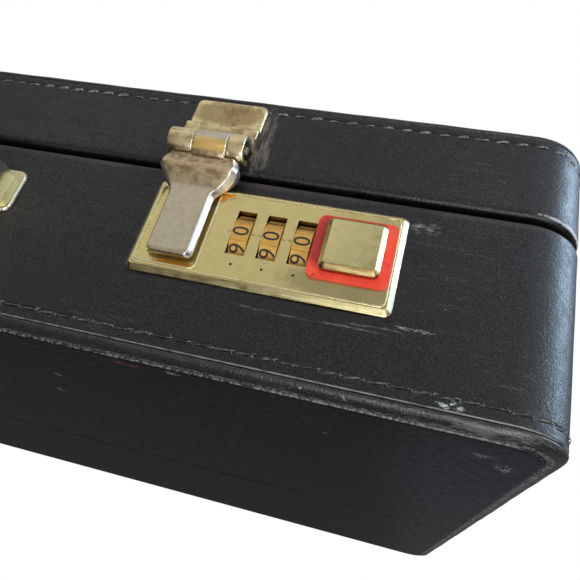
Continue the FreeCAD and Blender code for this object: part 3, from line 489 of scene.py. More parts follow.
def wood(name):
    """Pale plywood with its grain along x."""
    paint = Paint(name)
    rings = paint.noise(1.0, 4, 0.6, paint.stretch(12, 160, 900))
    colour = paint.mix(rings, (0.42, 0.28, 0.15), (0.62, 0.46, 0.28))
    paint.set(Base_Color=colour, Roughness=paint.range(rings, 0.3, 0.7, 0.6, 0.8))
    paint.bump(rings, 0.3, 0.2)
    return paint.material


def plastic(name, dark, light, rough, scale=160, edge=None, zones=()):
    """A plain moulded or fibrous material with blotches and darker zones; on the red pad the zone is painted
    shadow.
    """
    paint = Paint(name)
    paint.colour = paint.mix(paint.mottle((scale, 4), 0.35, 0.7), dark, light)
    if edge:
        paint.coat(paint.mottle((420, 4), 0.6, 0.7), edge)
    # Darker zones: on the red pad, painted shadow beside the button.
    for point, size, tint, share in zones:
        paint.coat(paint.scuff(point, size, 0.25), tint, share)
    roughness = paint.mottle((scale * 3, 3), 0.3, 0.7, rough - 0.05, rough + 0.1)
    paint.set(Base_Color=paint.colour, Roughness=roughness)
    paint.bump(paint.noise(scale * 6, 2), 0.15, 0.08)
    return paint.material


def thread_material(name, dark, light):
    """Waxed thread with its twist."""
    paint = Paint(name)
    twist = paint.noise(1.0, 1, 0.5, paint.stretch(900, 900, 2200, (0.6, 0.5, 0.4)))
    colour = paint.mix(paint.range(twist, 0.4, 0.65), dark, light)
    paint.set(Base_Color=colour, Roughness=paint.range(twist, 0.3, 0.7, 0.45, 0.65), Sheen_Weight=0.2)
    paint.bump(twist, 0.6, 0.12)
    return paint.material


def streak_kind(x, y, z, low=0.50, high=0.60):
    """Streaks that break up a scuffed patch, and the painted sheen on the bead: the noise's scale on each
    axis, and where it starts and ends.
    """
    return (x, y, z), (low, high)


def wall_spot(x, z, width, height, tint, kind=None):
    """A scuff on the front wall."""
    return (x, FRONT, z), (width, 3, height), tint, kind


def panel_spot(x, y, width, depth, tint, kind=None):
    """A mark on the base panel: scuffed, dusty or stained patches, and on its right a painted sheen."""
    return (x, y, 0), (width, depth, 2), tint, kind


BLACK, SOFT_BLACK = (0.0025, 0.0025, 0.0032), (0.0085, 0.0085, 0.0105)
FLAT_STROKES, FINE_STROKES = streak_kind(70, 70, 1500), streak_kind(500, 500, 1700)
FUZZ, SMEAR = streak_kind(1300, 1300, 900), streak_kind(900, 900, 130, 0.34, 0.66)

base_wall_leather = leather(
    "base wall leather", BLACK, SOFT_BLACK,
    wear_and_sheen_lines=[
        (3.62, 0.26, 330, 0.2, 0.6, (0.20, 0.20, 0.20)),
        # Painted sheen: a faint brownish light line along the base's rim, just below the gap.
        (BASE_RIM - 1.2, 1.7, 40, 0.35, 0.65, (0.040, 0.028, 0.026)),
    ],
    scuffs_and_sheen_spots=[
        wall_spot(197.4, 5.2, 3.6, 1.7, (0.62, 0.72, 0.70), FINE_STROKES),
        wall_spot(155.0, 20.0, 17, 0.8, (0.13, 0.13, 0.135), FLAT_STROKES),
        wall_spot(178.0, 20.4, 12, 1.2, (0.24, 0.24, 0.25), FLAT_STROKES),
        wall_spot(186.0, 22.4, 6, 0.7, (0.34, 0.35, 0.36), FINE_STROKES),
        wall_spot(184.5, 53.5, 5, 2.5, (0.20, 0.20, 0.21), FINE_STROKES),
    ],
)
lid_wall_leather = leather(
    "lid wall leather", BLACK, SOFT_BLACK,
    wear_and_sheen_lines=[(HEIGHT - 3.6, 0.26, 330, 0.3, 0.7, (0.20, 0.20, 0.20))],
    scuffs_and_sheen_spots=[
        wall_spot(130.6, 78.0, 3.6, 15, (0.17, 0.145, 0.125), SMEAR),
        wall_spot(131.8, 70.5, 4.2, 6, (0.13, 0.115, 0.10), SMEAR),
        # Painted highlight: a pale strip on the lid's lower roll by the right front corner, where the light
        # from the right glints.
        ((222.0, -153.0, HEIGHT - LID_RIM + 1.1), (14, 18, 0.7), (0.36, 0.36, 0.37), None),
        wall_spot(118.5, 92.6, 2.0, 0.9, (0.65, 0.65, 0.65), FUZZ),
    ],
)
panel_leather = leather(
    "panel leather", (0.003, 0.003, 0.0036), (0.007, 0.007, 0.008),
    grain=0.35, lines=PANEL_SCRATCHES, dusty=0.5,
    wear_and_sheen_lines=[
        (0.45, 0.35, 1300, 0.42, 0.6, (0.22, 0.22, 0.22)),
        (HEIGHT - 0.45, 0.35, 1300, 0.42, 0.6, (0.15, 0.15, 0.15)),
    ],
    scuffs_and_sheen_spots=[
        # Painted sheen: a soft, lighter bluish area on the right of the panel.
        panel_spot(222.0, -112.0, 62, 62, (0.007, 0.0078, 0.011)),
        panel_spot(112.0, -155.6, 5.5, 1.6, (0.45, 0.07, 0.045), streak_kind(200, 1500, 1)),
        panel_spot(66.0, -104.0, 2.6, 2.4, (0.28, 0.28, 0.29), FUZZ),
        panel_spot(76.0, -126.0, 2.0, 1.8, (0.32, 0.32, 0.33), FUZZ),
        panel_spot(209.0, -147.0, 3.6, 1.8, (0.40, 0.41, 0.42), streak_kind(400, 1500, 1)),
        panel_spot(216.0, -138.0, 3.0, 5.0, (0.28, 0.30, 0.34), streak_kind(1300, 500, 1)),
        panel_spot(126.0, -157.0, 2.4, 1.6, (0.44, 0.44, 0.44), FUZZ),
        panel_spot(167.0, -132.0, 1.4, 0.9, (0.34, 0.34, 0.34), FUZZ),
    ],
)
welt_leather = leather(
    "welt leather", (0.012, 0.012, 0.0125), (0.036, 0.036, 0.037), 0.33, dusty=0.35,
    wear_and_sheen_lines=[
        (2.6, 0.7, 200, 0.40, 0.62, (0.034, 0.032, 0.029)),
        (0.50, 0.22, 1300, 0.46, 0.6, (0.20, 0.20, 0.20)),
        (HEIGHT - 0.50, 0.22, 1300, 0.46, 0.6, (0.20, 0.20, 0.20)),
    ],
    scuffs_and_sheen_spots=[
        # Painted sheen: a long, lighter streaked patch along the bead near the right corner.
        ((208.0, -163.0, 1.6), (34, 8, 1.5), (0.115, 0.112, 0.108), streak_kind(60, 60, 900)),
        ((160.8, -163.6, 1.0), (2.8, 3, 0.9), (0.42, 0.54, 0.56), streak_kind(500, 500, 700)),
        ((172.2, -163.6, 1.4), (1.8, 3, 0.6), (0.36, 0.38, 0.38), FINE_STROKES),
    ],
)
grip_leather = leather("grip leather", (0.010, 0.009, 0.009), (0.022, 0.020, 0.019), 0.38)
pocket_leather = leather(
    "pocket leather", (0.020, 0.016, 0.013), (0.032, 0.026, 0.022), 0.55, grain=1.6, lines=PANEL_SCRATCHES
)
lining_cloth = cloth("lining cloth", (0.20, 0.15, 0.10), (0.34, 0.27, 0.19))
black_thread = thread_material("black thread", (0.010, 0.010, 0.010), (0.11, 0.11, 0.11))
# A lighter copy of the black thread: painted light, for the light falling on the lid's stitches from above.
lit_grey_thread = thread_material("lit grey thread", (0.06, 0.06, 0.064), (0.25, 0.25, 0.265))

brass = metal("brass", (0.63, 0.58, 0.35), (0.44, 0.33, 0.17), edge_wear_and_highlight=(0.86, 0.82, 0.66))
AMBER_REFLECTION = (0.90, 0.36, 0.02)


def plate_zone(side, x, out, z, width, thick, height, tint, share):
    """A coloured patch on the locks and hasps — tarnish on the leaves, painted reflections and a darker patch
    on the plates, painted shadow on the pads: place and size in millimetres, colour and strength.
    """
    return (side * x, FRONT - out, z), (width, thick, height), tint, share


plate_reflections_and_patches, leaf_zones, pad_shadow_zones = [], [], []
for side, _ in SIDES:
    plate_reflections_and_patches += [
        # Painted reflections: amber and orange glow on the plate along the right side and under the foot of
        # the strap's tongue.
        plate_zone(side, 125.2, PLATE_OUT, 51.4, 2.1, 2, 1.4, AMBER_REFLECTION, 1.0),
        plate_zone(side, 127.4, PLATE_OUT, 53.2, 2.3, 2, 1.2, AMBER_REFLECTION, 1.0),
        plate_zone(side, 124.6, 1.4, 40.0, 1.3, 2, 14, (0.50, 0.29, 0.06), 0.9),
        plate_zone(side, 118.6, 1.4, 27.8, 8.0, 2, 1.9, (0.66, 0.31, 0.03), 1.0),
        # A darker patch at the plate's lower right.
        plate_zone(side, 168.0, PLATE_OUT, 30.0, 22, 3, 6.5, (0.33, 0.30, 0.16), 0.60),
    ]
    leaf_zones.append(plate_zone(side, HASP_X, 1.5, 84.5, 15, 2, 6, (0.26, 0.17, 0.07), 0.65))
    # Painted shadow: a darker red strip on the pad beside the button, for the shade the button casts.
    pad_shadow_zones.append(plate_zone(side, 157.5, 2.6, 43.0, 3.4, 3, 10, (0.34, 0.014, 0.018), 0.75))
# Painted shade: the box round the dial windows inside which the plate is darkened.
WINDOW_SHADE_BOX = (
    (LOCK_X - 13, LOCK_X + 16), (FRONT - PLATE_OUT + 0.15, FRONT + 3), (DIAL_AXIS_Z - 9, DIAL_AXIS_Z + 9)
)
plate_brass = metal(
    "plate brass", (0.74, 0.63, 0.285), (0.56, 0.45, 0.17), 0.30, (0.5, 0.8), zones=plate_reflections_and_patches, pits=0.25,
    edge=0.25, blotch=0.5, edge_wear_and_highlight=(0.95, 0.91, 0.68), ledge_tint=(0.36, 0.30, 0.135), recess_shade=WINDOW_SHADE_BOX
)
button_brass = metal(
    "button brass", (0.78, 0.70, 0.34), (0.50, 0.42, 0.20), 0.25, (0.5, 0.8), pits=0.9, blotch=0.5,
    ledge_tint=(0.21, 0.13, 0.055)
)
leaf_brass = metal(
    "leaf brass", (0.78, 0.65, 0.37), (0.30, 0.20, 0.08), 0.28, (0.48, 0.66), zones=leaf_zones, pits=0.5,
    edge=0.15, edge_wear_and_highlight=(0.80, 0.71, 0.50)
)
bead_brass = metal("bead brass", (0.84, 0.76, 0.44), (0.56, 0.47, 0.23), 0.24, pits=0.05, edge=0.05)
dial_brass = metal(
    "dial brass", (0.69, 0.41, 0.10), (0.42, 0.21, 0.045), 0.45, (0.5, 0.7), (60, 700, 700),
    edge=0.2, metallic=0.45
)
dark_steel = metal("dark steel", (0.045, 0.040, 0.036), (0.02, 0.016, 0.013), 0.5, pits=0.2)
steel = metal("steel", (0.60, 0.60, 0.61), (0.30, 0.29, 0.28), 0.34)
red_fibre = plastic(
    "red fibre", (0.92, 0.060, 0.03), (0.98, 0.10, 0.05), 0.42, edge=(0.60, 0.04, 0.02), zones=pad_shadow_zones
)
lip_plastic = plastic("lip plastic", (0.008, 0.008, 0.009), (0.016, 0.016, 0.017), 0.5)
plywood = wood("plywood")
ink = plastic("black enamel", (0.010, 0.009, 0.009), (0.03, 0.025, 0.02), 0.4, 900)


def make_strap_metal():
    """Nickel on the tongue; brown, streaked brass where the plating has gone round the bend; a painted gold
    reflection low on the knuckle, a painted highlight along the bend, and pale painted highlights on faces
    that lean towards x.
    """
    paint = Paint("strap metal")
    streaks = paint.noise(1.0, 4, 0.6, paint.stretch(900, 900, 90))
    height = paint.axis("Z")
    bare = paint.range(paint.plus(height, paint.times(streaks, 12 * MM)), 56.5 * MM, 62.5 * MM)
    shade = paint.mottle((420, 6, 0.7), 0.35, 0.65)
    brown = paint.mix(shade, (0.26, 0.17, 0.08), (0.64, 0.51, 0.31))
    shade = paint.mottle((500, 5, 0.7), 0.3, 0.75)
    nickel = paint.mix(shade, (0.62, 0.56, 0.425), (0.52, 0.455, 0.335))
    paint.colour = paint.mix(paint.times(bare, 0.85), nickel, brown)
    # Painted reflection: bright gold low on the knuckle, paler above it.
    gold_reflection = paint.mix(paint.range(height, 66.2 * MM, 67.2 * MM), (0.95, 0.70, 0.25), (0.60, 0.54, 0.42))
    paint.coat(paint.range(height, 62.5 * MM, 64.0 * MM), gold_reflection)
    # Painted highlight: a pale orange line along the strap's bend.
    paint.coat(paint.line(CREASE, 0.8, 300, 0.30, 0.55), (0.80, 0.60, 0.38), 0.8)
    # Painted highlight: pale, near-white colour on faces that lean towards x, the strap's rounded sides.
    paint.coat(paint.range(paint.tilt("X"), 0.25, 0.55), (0.80, 0.81, 0.82), 0.85)
    roughness = paint.mottle((600, 5, 0.7), 0.3, 0.8, 0.22, 0.36)
    roughness = paint.plus(roughness, paint.times(bare, 0.10))
    paint.set(Base_Color=paint.colour, Metallic=1.0, Roughness=roughness)
    paint.bump(paint.noise(1.0, 2, 0.5, paint.stretch(1400, 1400, 60)), 0.06, 0.04)
    paint.bump(streaks, 0.06, 0.1)
    paint.bump(paint.noise(220, 3), 0.05, 0.12)
    return paint.material


strap_metal = make_strap_metal()

NODE_MATERIALS = {
    "plywood": plywood,
    "lining": lining_cloth,
    "lip_plastic": lip_plastic,
    "brass": brass,
    "button_brass": button_brass,
    "hasp_metal": strap_metal,
    "dial_brass": dial_brass,
    "red_pad": red_fibre,
    "steel": steel,
    "case_leather": panel_leather,
    "welt_leather": welt_leather,
    "handle_leather": grip_leather,
    "pocket_leather": pocket_leather,
}


def dress_cad_nodes():
    """Gives each CAD node its material."""
    slots = {entry["node"]: entry["material_slot"] for entry in frame["record"]["subparts"]}
    for name, thing in frame["nodes"].items():
        material = NODE_MATERIALS[slots[name]]
        if "lock_plate" in name:
            material = plate_brass
        if "lock_case" in name:
            material = dark_steel
        thing.data.materials.clear()
        thing.data.materials.append(material)


# ---- leather of the two halves


def side_leather(half, rim):
    """The wall's leather: a turned-in foot, a stitched line, and a soft roll over the rim."""
    stitch = 6.8 if half == "base" else 6.2
    wall = [4.1, 4.6, 5.1] + [stitch + d for d in (-1.0, -0.6, -0.3, 0.0, 0.3, 0.6, 1.0, 1.8)]
    wall += list(np.linspace(stitch + 4, rim - 5, 9)) + [rim - 3.4]
    profile = [(-1.3, SEAM + 0.1), *arc(-0.8, SEAM + 0.8, 0.8, 0.8, -90, -15, 5)]
    profile += [(0.0, z) for z in wall]
    top = rim + 0.15
    profile += arc(-1.7, top - 1.7, 1.7, 1.7, 0, 90, 9) + [(-4.2, top), (-6.3, top)]
    profile += arc(-6.7, top - 0.8, 0.8, 0.8, 80, 180, 5)
    profile += [(-WALL, rim - HIDE), (-2.6, rim - 1.55), (-HIDE, rim - 2.6)]
    profile += [(-HIDE, rim / 2), (-HIDE, SEAM + 0.2)]

    def shape(along, out, z):
        outer = out > -1.0
        groove = 0.26 * np.exp(-(((z - stitch) / 0.42) ** 2))
        pucker = 0.08 * np.exp(-(((z - stitch) / 1.3) ** 2)) * np.cos(2 * math.pi * along / STITCH_PITCH)
        wave = 0.07 * np.sin(along / 23.0 + z / 9.0) + 0.05 * np.sin(along / 9.1 - z / 5.0)
        fade = np.clip((rim - 3 - z) / 6, 0, 1) * np.clip((z - 3.3) / 1.5, 0, 1)
        return np.where(outer, (wave - 0.12) * fade - groove - pucker, 0.0)

    grid, faces = sweep(CASE_FINE, profile, shape=shape)
    material = base_wall_leather if half == "base" else lid_wall_leather
    thing = half_piece(half, "side_hide", grid, faces, material, "case_leather", "side_leather")
    if half == "base":
        cut_boxes(thing, cavity_boxes())
    stitch_line(half, stitch)


def cavity_boxes():
    """The lock cases' cavities in the front wall."""
    boxes = []
    for side, _ in SIDES:
        low = (side * LOCK_X - 34, FRONT - 3, LOCK_Z - 13)
        boxes.append((low, (side * LOCK_X + 34, FRONT + 12, LOCK_Z + 13)))
    return boxes


def along_outline(outline, distance):
    """The point and normal at a distance along an outline."""
    points, normals, along = outline
    index = int(np.searchsorted(along, distance, side="right")) - 1
    following = (index + 1) % len(points)
    share = (distance - along[index]) / max(along[index + 1] - along[index], 1e-9)
    point = points[index] * (1 - share) + points[following] * share
    normal = normals[index] * (1 - share) + normals[following] * share
    return point, normal / np.linalg.norm(normal)


def one_stitch(centre, along, out, across, length, radius=0.25):
    """A thread that rises from one hole and dives into the next."""
    points = []
    rows, columns = 9, 6
    for t in np.linspace(-1, 1, rows):
        lift = 0.22 - 0.6 * t**4
        middle = centre + along * (t * length / 2) + out * lift + across * (0.30 * t)
        fat = radius * (1 - 0.35 * abs(t) ** 3)
        for turn in np.linspace(0, 2 * math.pi, columns + 1)[:-1]:
            points.append(middle + out * (fat * math.cos(turn)) + across * (fat * math.sin(turn)))
    return points, tube_faces(rows, columns)


def stitch_places(outline, pitch):
    """Even places round an outline: the distance before each, then its point, and the ways along and out."""
    total = outline[2][-1]
    count = round(total / pitch)
    for k in range(count):
        point, normal = along_outline(outline, (k + 0.5) * total / count)
        along, out = np.array([-normal[1], normal[0], 0.0]), np.array([*normal, 0.0])
        yield k * total / count, point, along, out


def hole_fibres(distance, z, dice):
    """Two short frayed fibres crossing at a stitch hole."""
    point, normal = along_outline(CASE_FINE, distance)
    out = np.array([*normal, 0.0])
    sideways, upward = np.array([-normal[1], normal[0], 0.0]), np.array([0.0, 0.0, 1.0])
    made = []
    for lean in (dice.uniform(0.3, 1.1), dice.uniform(-1.1, -0.2)):
        along = sideways * math.cos(lean) + upward * math.sin(lean)
        across = np.cross(along, out)
        centre = np.array([*point, z + dice.uniform(-0.1, 0.3)]) - out * 0.12
        made.append(one_stitch(centre, along, out, across, dice.uniform(1.3, 2.5), 0.10))
    return made


def stitch_line(half, level):
    """Lock stitches all round a half, at one level of its wall; the base's holes are frayed."""
    base = half == "base"
    dice = random.Random(7 if base else 11)
    # The lid's stitches take the lighter thread, painted lit from above.
    thread, length, radius = (black_thread, 0.90, 0.25) if base else (lit_grey_thread, 0.72, 0.33)
    z = level if base else HEIGHT - level
    parts, fibres = [], []
    for before, point, along, out in stitch_places(CASE_FINE, STITCH_PITCH):
        centre = np.array([*point, z + dice.uniform(-0.12, 0.12)]) - out * 0.35
        across = np.array([0.0, 0.0, 1.0 + dice.uniform(-0.6, 0.6)])
        size = STITCH_PITCH * length + dice.uniform(-0.35, 0.2)
        parts.append(one_stitch(centre, along, out, across, size, radius))
        if base:
            fibres += hole_fibres(before, z, dice)
    piece(f"{half}_wall_stitches", *join_parts(parts), half, thread, "welt_leather")
    if base:
        # The frayed fibres take the lighter thread too: real fuzz, painted lighter as glints at the holes.
        piece(f"{half}_stitch_fibres", *join_parts(fibres), half, lit_grey_thread, "welt_leather")


def welt(half):
    """The leather bead between wall and panel."""
    profile = [(-1.25, SEAM + 0.15), (-0.6, SEAM), (-0.22, SEAM - 0.22)]
    profile += arc(-4.6, 2.95, 4.58, 2.45, -4, -86, 14)
    profile += [(-4.95, 0.56), (-5.15, 0.7), (-5.2, 2.0), (-5.3, 5.4), (-1.55, 5.4), (-HIDE, SEAM + 0.3)]

    def shape(along, out, z):
        ripple = 0.06 * np.sin(along / 11.0) + 0.05 * np.sin(along / 3.1 + out)
        return np.where((z < SEAM - 0.3) & (out > -4.9), ripple - 0.06, 0.0)

    grid, faces = sweep(CASE_FINE, profile, shape=shape)
    half_piece(half, "bead", grid, faces, welt_leather, "welt_leather", "welt")


def panel(half):
    """The big panel's leather, rolled under at its edge."""
    profile = [(FLAT, HIDE), (-10, HIDE), (-6.2, HIDE), (-5.3, 1.3), *arc(-6.2, 0.95, 0.95, 0.95, 0, -90, 8)]
    profile += [(-7.4, 0.0), (-9.0, 0.0), (-12.0, 0.0), (FLAT, 0.0)]
    grid, faces = capped(sweep(CASE_COARSE, profile, closed=False)[0])
    half_piece(half, "panel_hide", grid, faces, panel_leather, "case_leather", "panel_leather")


def lining(half, rim, thick):
    """Cloth glued to the inside of a half, with soft corners between wall and floor."""
    inner = -WALL - thick
    floor = FLOOR + thick
    profile = [(FLAT, FLOOR), (-WALL, FLOOR), (-WALL, rim - 0.8), (-WALL - 0.25, rim - 0.5)]
    profile += [(inner + 0.2, rim - 0.5)]
    profile += [(inner, rim - 0.9)] + [(inner, z) for z in np.linspace(rim - 3, floor + 3.2, 8)]
    profile += arc(inner - 3, floor + 3, 3, 3, 0, -90, 6) + [(-13.8, floor), (FLAT, floor)]

    def shape(along, out, z):
        face = (out < inner + 0.1) & (z > floor + 1) & (z < rim - 2)
        return np.where(face, 0.12 * np.sin(along / 17.0 + z / 7.0) + 0.13, 0.0)

    grid, faces = capped(sweep(CASE_COARSE, profile, closed=False, shape=shape)[0])
    thing = half_piece(half, "cloth", grid, faces, lining_cloth, "lining", "lining")
    if half == "base":
        cut_boxes(thing, cavity_boxes())


def make_halves():
    """Leather, welt, panel and lining of the base and the lid."""
    for half, rim, thick in (("base", BASE_RIM, 1.2), ("lid", LID_RIM, 0.7)):
        side_leather(half, rim)
        welt(half)
        panel(half)
        lining(half, rim, thick)


# ---- small metal


def make_studs():
    """Turned feet and domed rivets."""
    foot = [(0.01, 0), (7, 0), (7, 0.9), (6.4, 1.5), (6.3, 5.2)]
    foot += [*arc(4.2, 5.9, 2.1, 2.1, 0, 90, 8), (0.01, 8.0)]
    for half, level in (("base", 18), ("lid", 80)):
        parts = [lathe(foot, (side * FOOT_X, -FRONT, level), (0, 1, 0)) for side, _ in SIDES]
        piece(f"{half}_studs", *join_parts(parts), half, brass, "brass", [f"{half}_feet"])
    dome = [(1.9, 0)] + arc(0, 0, 1.9, 0.9, 8, 88, 7)
    for half, levels in (("base", (43, 54)), ("lid", (71, 81))):
        places = [(side * HINGE_X + shift, z) for side, _ in SIDES for shift in (-14, 14) for z in levels]
        parts = [lathe(dome, (x, -FRONT + 1.2, z), (0, 1, 0), 24) for x, z in places]
        if half == "base":
            small = [(r * 0.79, h * 0.85) for r, h in dome]
            places = [(side * 42.6, HANDLE_Z + shift) for side, _ in SIDES for shift in (-5.3, 5.3)]
            parts += [lathe(small, (x, FRONT - 1.4, z), (0, -1, 0), 24) for x, z in places]
        piece(f"{half}_rivet_domes", *join_parts(parts), half, brass, "brass", [f"{half}_rivets"])


# ---- hasps


def smooth_step(value, low, high):
    """0 below low and 1 above high, with a soft rise between them."""
    t = np.clip((value - low) / (high - low), 0.0, 1.0)
    return t * t * (3 - 2 * t)


def round_off(distance, radius):
    """How far a rounded edge falls back at a distance from its end."""
    return radius - math.sqrt(max(radius**2 - (radius - min(distance, radius)) ** 2, 0))


def on_front(side, x, out, z):
    """A point x from the middle of the case, out from the leather, at a height z."""
    return (side * x, FRONT - out, z)


def rolled_bar(side, profile, x0, x1, ease=0.4):
    """A closed (out, z) section carried from x0 to x1, with eased ends."""
    section = np.array(profile, float)
    ahead, behind = np.roll(section, -1, 0), np.roll(section, 1, 0)
    tangent = ahead - behind
    normal = np.stack([tangent[:, 1], -tangent[:, 0]], 1)
    normal /= np.maximum(np.linalg.norm(normal, axis=1, keepdims=True), 1e-9)
    spin = section[:, 0] * ahead[:, 1] - ahead[:, 0] * section[:, 1]
    normal *= 1 if spin.sum() > 0 else -1
    turns = np.radians([0, 30, 60, 90])
    rows = [(x0 + ease * (1 - math.cos(t)), ease * (1 - math.sin(t))) for t in turns]
    rows += [(x1 - (x - x0), inset) for x, inset in reversed(rows)]
    grid = np.array([[on_front(side, x, *point) for point in section - normal * inset] for x, inset in rows])
    return grid, tube_faces(len(rows), len(section))


def strap_body(side):
    """The stamped strap: a narrow tongue that flares and steps out to the barrel, with round edges."""
    low, high, ease = 29.5, 62.4, 1.3
    turns = np.radians(np.linspace(0, 90, 7))
    levels = [low + ease * (1 - math.cos(t)) for t in turns] + list(np.linspace(31.5, CREASE, 38))
    levels += list(np.linspace(CREASE + 0.25, 61.3, 8))
    levels += [high - 0.7 * (1 - math.sin(t)) for t in turns]
    rows = []
    for z in levels:
        rise = 3.9 * min(max((z - 52.8) / (CREASE - 52.8), 0.0), 1.0) ** 1.35
        front = 4.5 + 0.4 * smooth_step(z, 30, 53) + rise - 1.3 * min(max((z - CREASE) / 5.0, 0.0), 1.0)
        back = 2.3 + 0.3 * smooth_step(z, 30, 54) + 1.0 * smooth_step(z, 54, 60)
        half = 7.1 + 4.9 * smooth_step(z, 49.5, 58.0) - 1.2 * smooth_step(z, 58.5, 62.4)
        shift = -0.6 + 0.6 * smooth_step(z, 49.5, 58.0)
        half -= round_off(z - low, 1.7)
        front -= round_off(z - low, ease) * 0.9 + round_off(high - z, 0.7)
        front = max(front, back + 0.35)
        drop = min(1.9, front - back - 0.15)
        slope = 0.62 * drop
        flat = half - slope
        edge = [(flat - 0.22, front), (flat - 0.02, front - 0.05), (flat + 0.12, front - 0.2)]
        edge += [(half - 0.08, front - drop + 0.16), (half, front - drop)]
        edge += [(half, back + 0.1), (half - 0.15, back)]
        row = [(-x, out) for x, out in reversed(edge)]
        row += [(x, front) for x in np.linspace(0.22 - flat, flat - 0.22, 8)[1:-1]]
        row += edge
        rows.append([on_front(side, HASP_X + x + shift, out, z) for x, out in row])
    return np.array(rows), tube_faces(len(rows), len(rows[0]))


def soft_plate(side, x, z, width, height, radius, thick, ease):
    """A plate on the front wall whose outer edge is rounded over."""
    outline = rounded_outline(width, height, radius, 1.0)
    profile = [(-0.01, 0.0), (0.0, 0.1), (0.0, thick - ease)] + arc(-ease, thick - ease, ease, ease, 0, 88, 6)
    grid, faces = capped(sweep(outline, profile + [(-ease - 1.0, thick)], closed=False)[0])
    return [on_front(side, x + a, out, z + b) for a, b, out in grid.reshape(-1, 3)], faces


def make_hasps():
    """Each hasp's leaf on the lid, and the strap that turns in it."""
    knuckle = [(0.1, 74.6), (3.6, 74.6)] + arc(PIN_OUT, PIN_Z, BARREL, BARREL, 115, -150, 30)
    knuckle += arc(PIN_OUT, PIN_Z, 3.0, 3.0, -150, 105, 20) + [(0.1, 70.3)]
    middle = [(8.4, 61.8)] + arc(PIN_OUT, PIN_Z, BARREL, BARREL, -45, 222, 34) + [(3.6, 61.8)]
    ridge = arc(2.2, 78.2, 0.8, 0.8, 0, 90, 5) + [(0.1, 79)]
    step = [(0.1, 74.5), (2.6, 74.5), (3.0, 74.9)] + ridge
    short_step = [(0.1, 75.5), (2.6, 75.5), (3.0, 75.9)] + ridge
    half = HASP_WIDTH / 2
    for side, word in SIDES:
        parts = [soft_plate(side, HASP_X, 81.6, HASP_WIDTH, 16.8, 2.2, 1.5, 1.0)]
        for start, end in ((-half, SPLIT_LOW), (SPLIT_HIGH, half)):
            parts += [rolled_bar(side, section, HASP_X + start, HASP_X + end) for section in (knuckle, step)]
        parts.append(rolled_bar(side, short_step, HASP_X + SPLIT_LOW - 0.6, HASP_X + SPLIT_HIGH + 0.6))
        name = f"{word}_hasp_leaf"
        piece(f"{name}_plate", *join_parts(parts), "lid", leaf_brass, "hasp_metal", [name])
        roll = rolled_bar(side, middle, HASP_X + SPLIT_LOW + 0.15, HASP_X + SPLIT_HIGH - 0.15)
        grid, faces = join_parts([strap_body(side), roll])
        name = f"{word}_hasp_strap"
        piece(f"{name}_body", grid, faces, f"{word}_hasp", strap_metal, "hasp_metal", [name])


# ---- dials and marks


def digit_shapes():
    """The ten digits as flat meshes, in millimetres, centred."""
    shapes = []
    for digit in range(10):
        curve = bpy.data.curves.new(f"digit {digit}", "FONT")
        curve.body = str(digit)
        curve.size = 6.7
        curve.align_x = "CENTER"
        curve.extrude = 0.03
        thing = bpy.data.objects.new(f"digit {digit}", curve)
        bpy.context.scene.collection.objects.link(thing)
        graph = bpy.context.evaluated_depsgraph_get()
        mesh = bpy.data.meshes.new_from_object(thing.evaluated_get(graph))
        points = np.array([v.co for v in mesh.vertices])
        points[:, :2] -= (points[:, :2].min(0) + points[:, :2].max(0)) / 2
        shapes.append((points, [list(p.vertices) for p in mesh.polygons]))
        bpy.data.objects.remove(thing)
        bpy.data.meshes.remove(mesh)
        bpy.data.curves.remove(curve)
    return shapes


def make_dial_marks():
    """Digits on the dials' faces: 0 faces out, 1 is above it, and each digit's top points to -X."""
    shapes = digit_shapes()
    for side, word in SIDES:
        for index, window in enumerate(WINDOWS):
            parts = []
            for digit, (points, faces) in enumerate(shapes):
                turn = math.radians(36 * digit)
                out = np.array([0, -math.cos(turn), math.sin(turn)])
                up = np.array([0, math.sin(turn), math.cos(turn)])
                axis = np.array([side * (LOCK_X + window), DIAL_AXIS_Y, DIAL_AXIS_Z])
                centre = axis + out * (DIAL_FACE + 0.01)
                placed = centre + np.outer(points[:, 0], up) * 0.95 + np.outer(points[:, 2], out)
                placed[:, 0] -= points[:, 1]
                parts.append((placed, faces))
            name = f"{word}_dial_{index + 1}"
            piece(f"{name}_digits", *join_parts(parts), f"{name}_wheel", ink, smooth=False)


def plate_bead(side, x, z, length, height, radius, rise):
    """A thin raised line on the lock plate, along a rounded rectangle."""
    flank = [(-0.34, -0.1), (-0.30, 0.45 * rise), (-0.14, rise)]
    section = flank + [(-out, up) for out, up in reversed(flank)]
    grid, faces = sweep(rounded_outline(length, height, radius, 0.7), section)
    x, z = LOCK_X + x, LOCK_Z + z
    return [on_front(side, x + a, PLATE_OUT + out, z + b) for a, b, out in grid.reshape(-1, 3)], faces


def make_plate_marks():
    """Raised lines, index lines beside the windows, and one small dot under each."""
    dot = [(0.42, 0), (0.40, 0.04), (0.01, 0.05)]
    for side, word in SIDES:
        parts = []
        for window in WINDOWS:
            x = side * (LOCK_X + window)
            for start, end in ((-4.1, -3.0), (3.0, 4.1)):
                low = (x + start, PLATE_Y - 0.02, DIAL_AXIS_Z - 0.09)
                parts.append(box_part(low, (x + end, PLATE_Y + 0.06, DIAL_AXIS_Z + 0.09)))
            parts.append(lathe(dot, (x, PLATE_Y, LOCK_Z - 9.4), (0, -1, 0), 16))
        piece(f"{word}_plate_marks", *join_parts(parts), "base", ink, smooth=False)
        beads = [plate_bead(side, 0, 0, 71.4, 27.6, 1.5, 0.20)]
        beads.append(plate_bead(side, -26.4, 0.4, 18.6, 26.8, 1.9, 0.17))
        piece(f"{word}_plate_beads", *join_parts(beads), "base", bead_brass, "brass")


# ---- handle


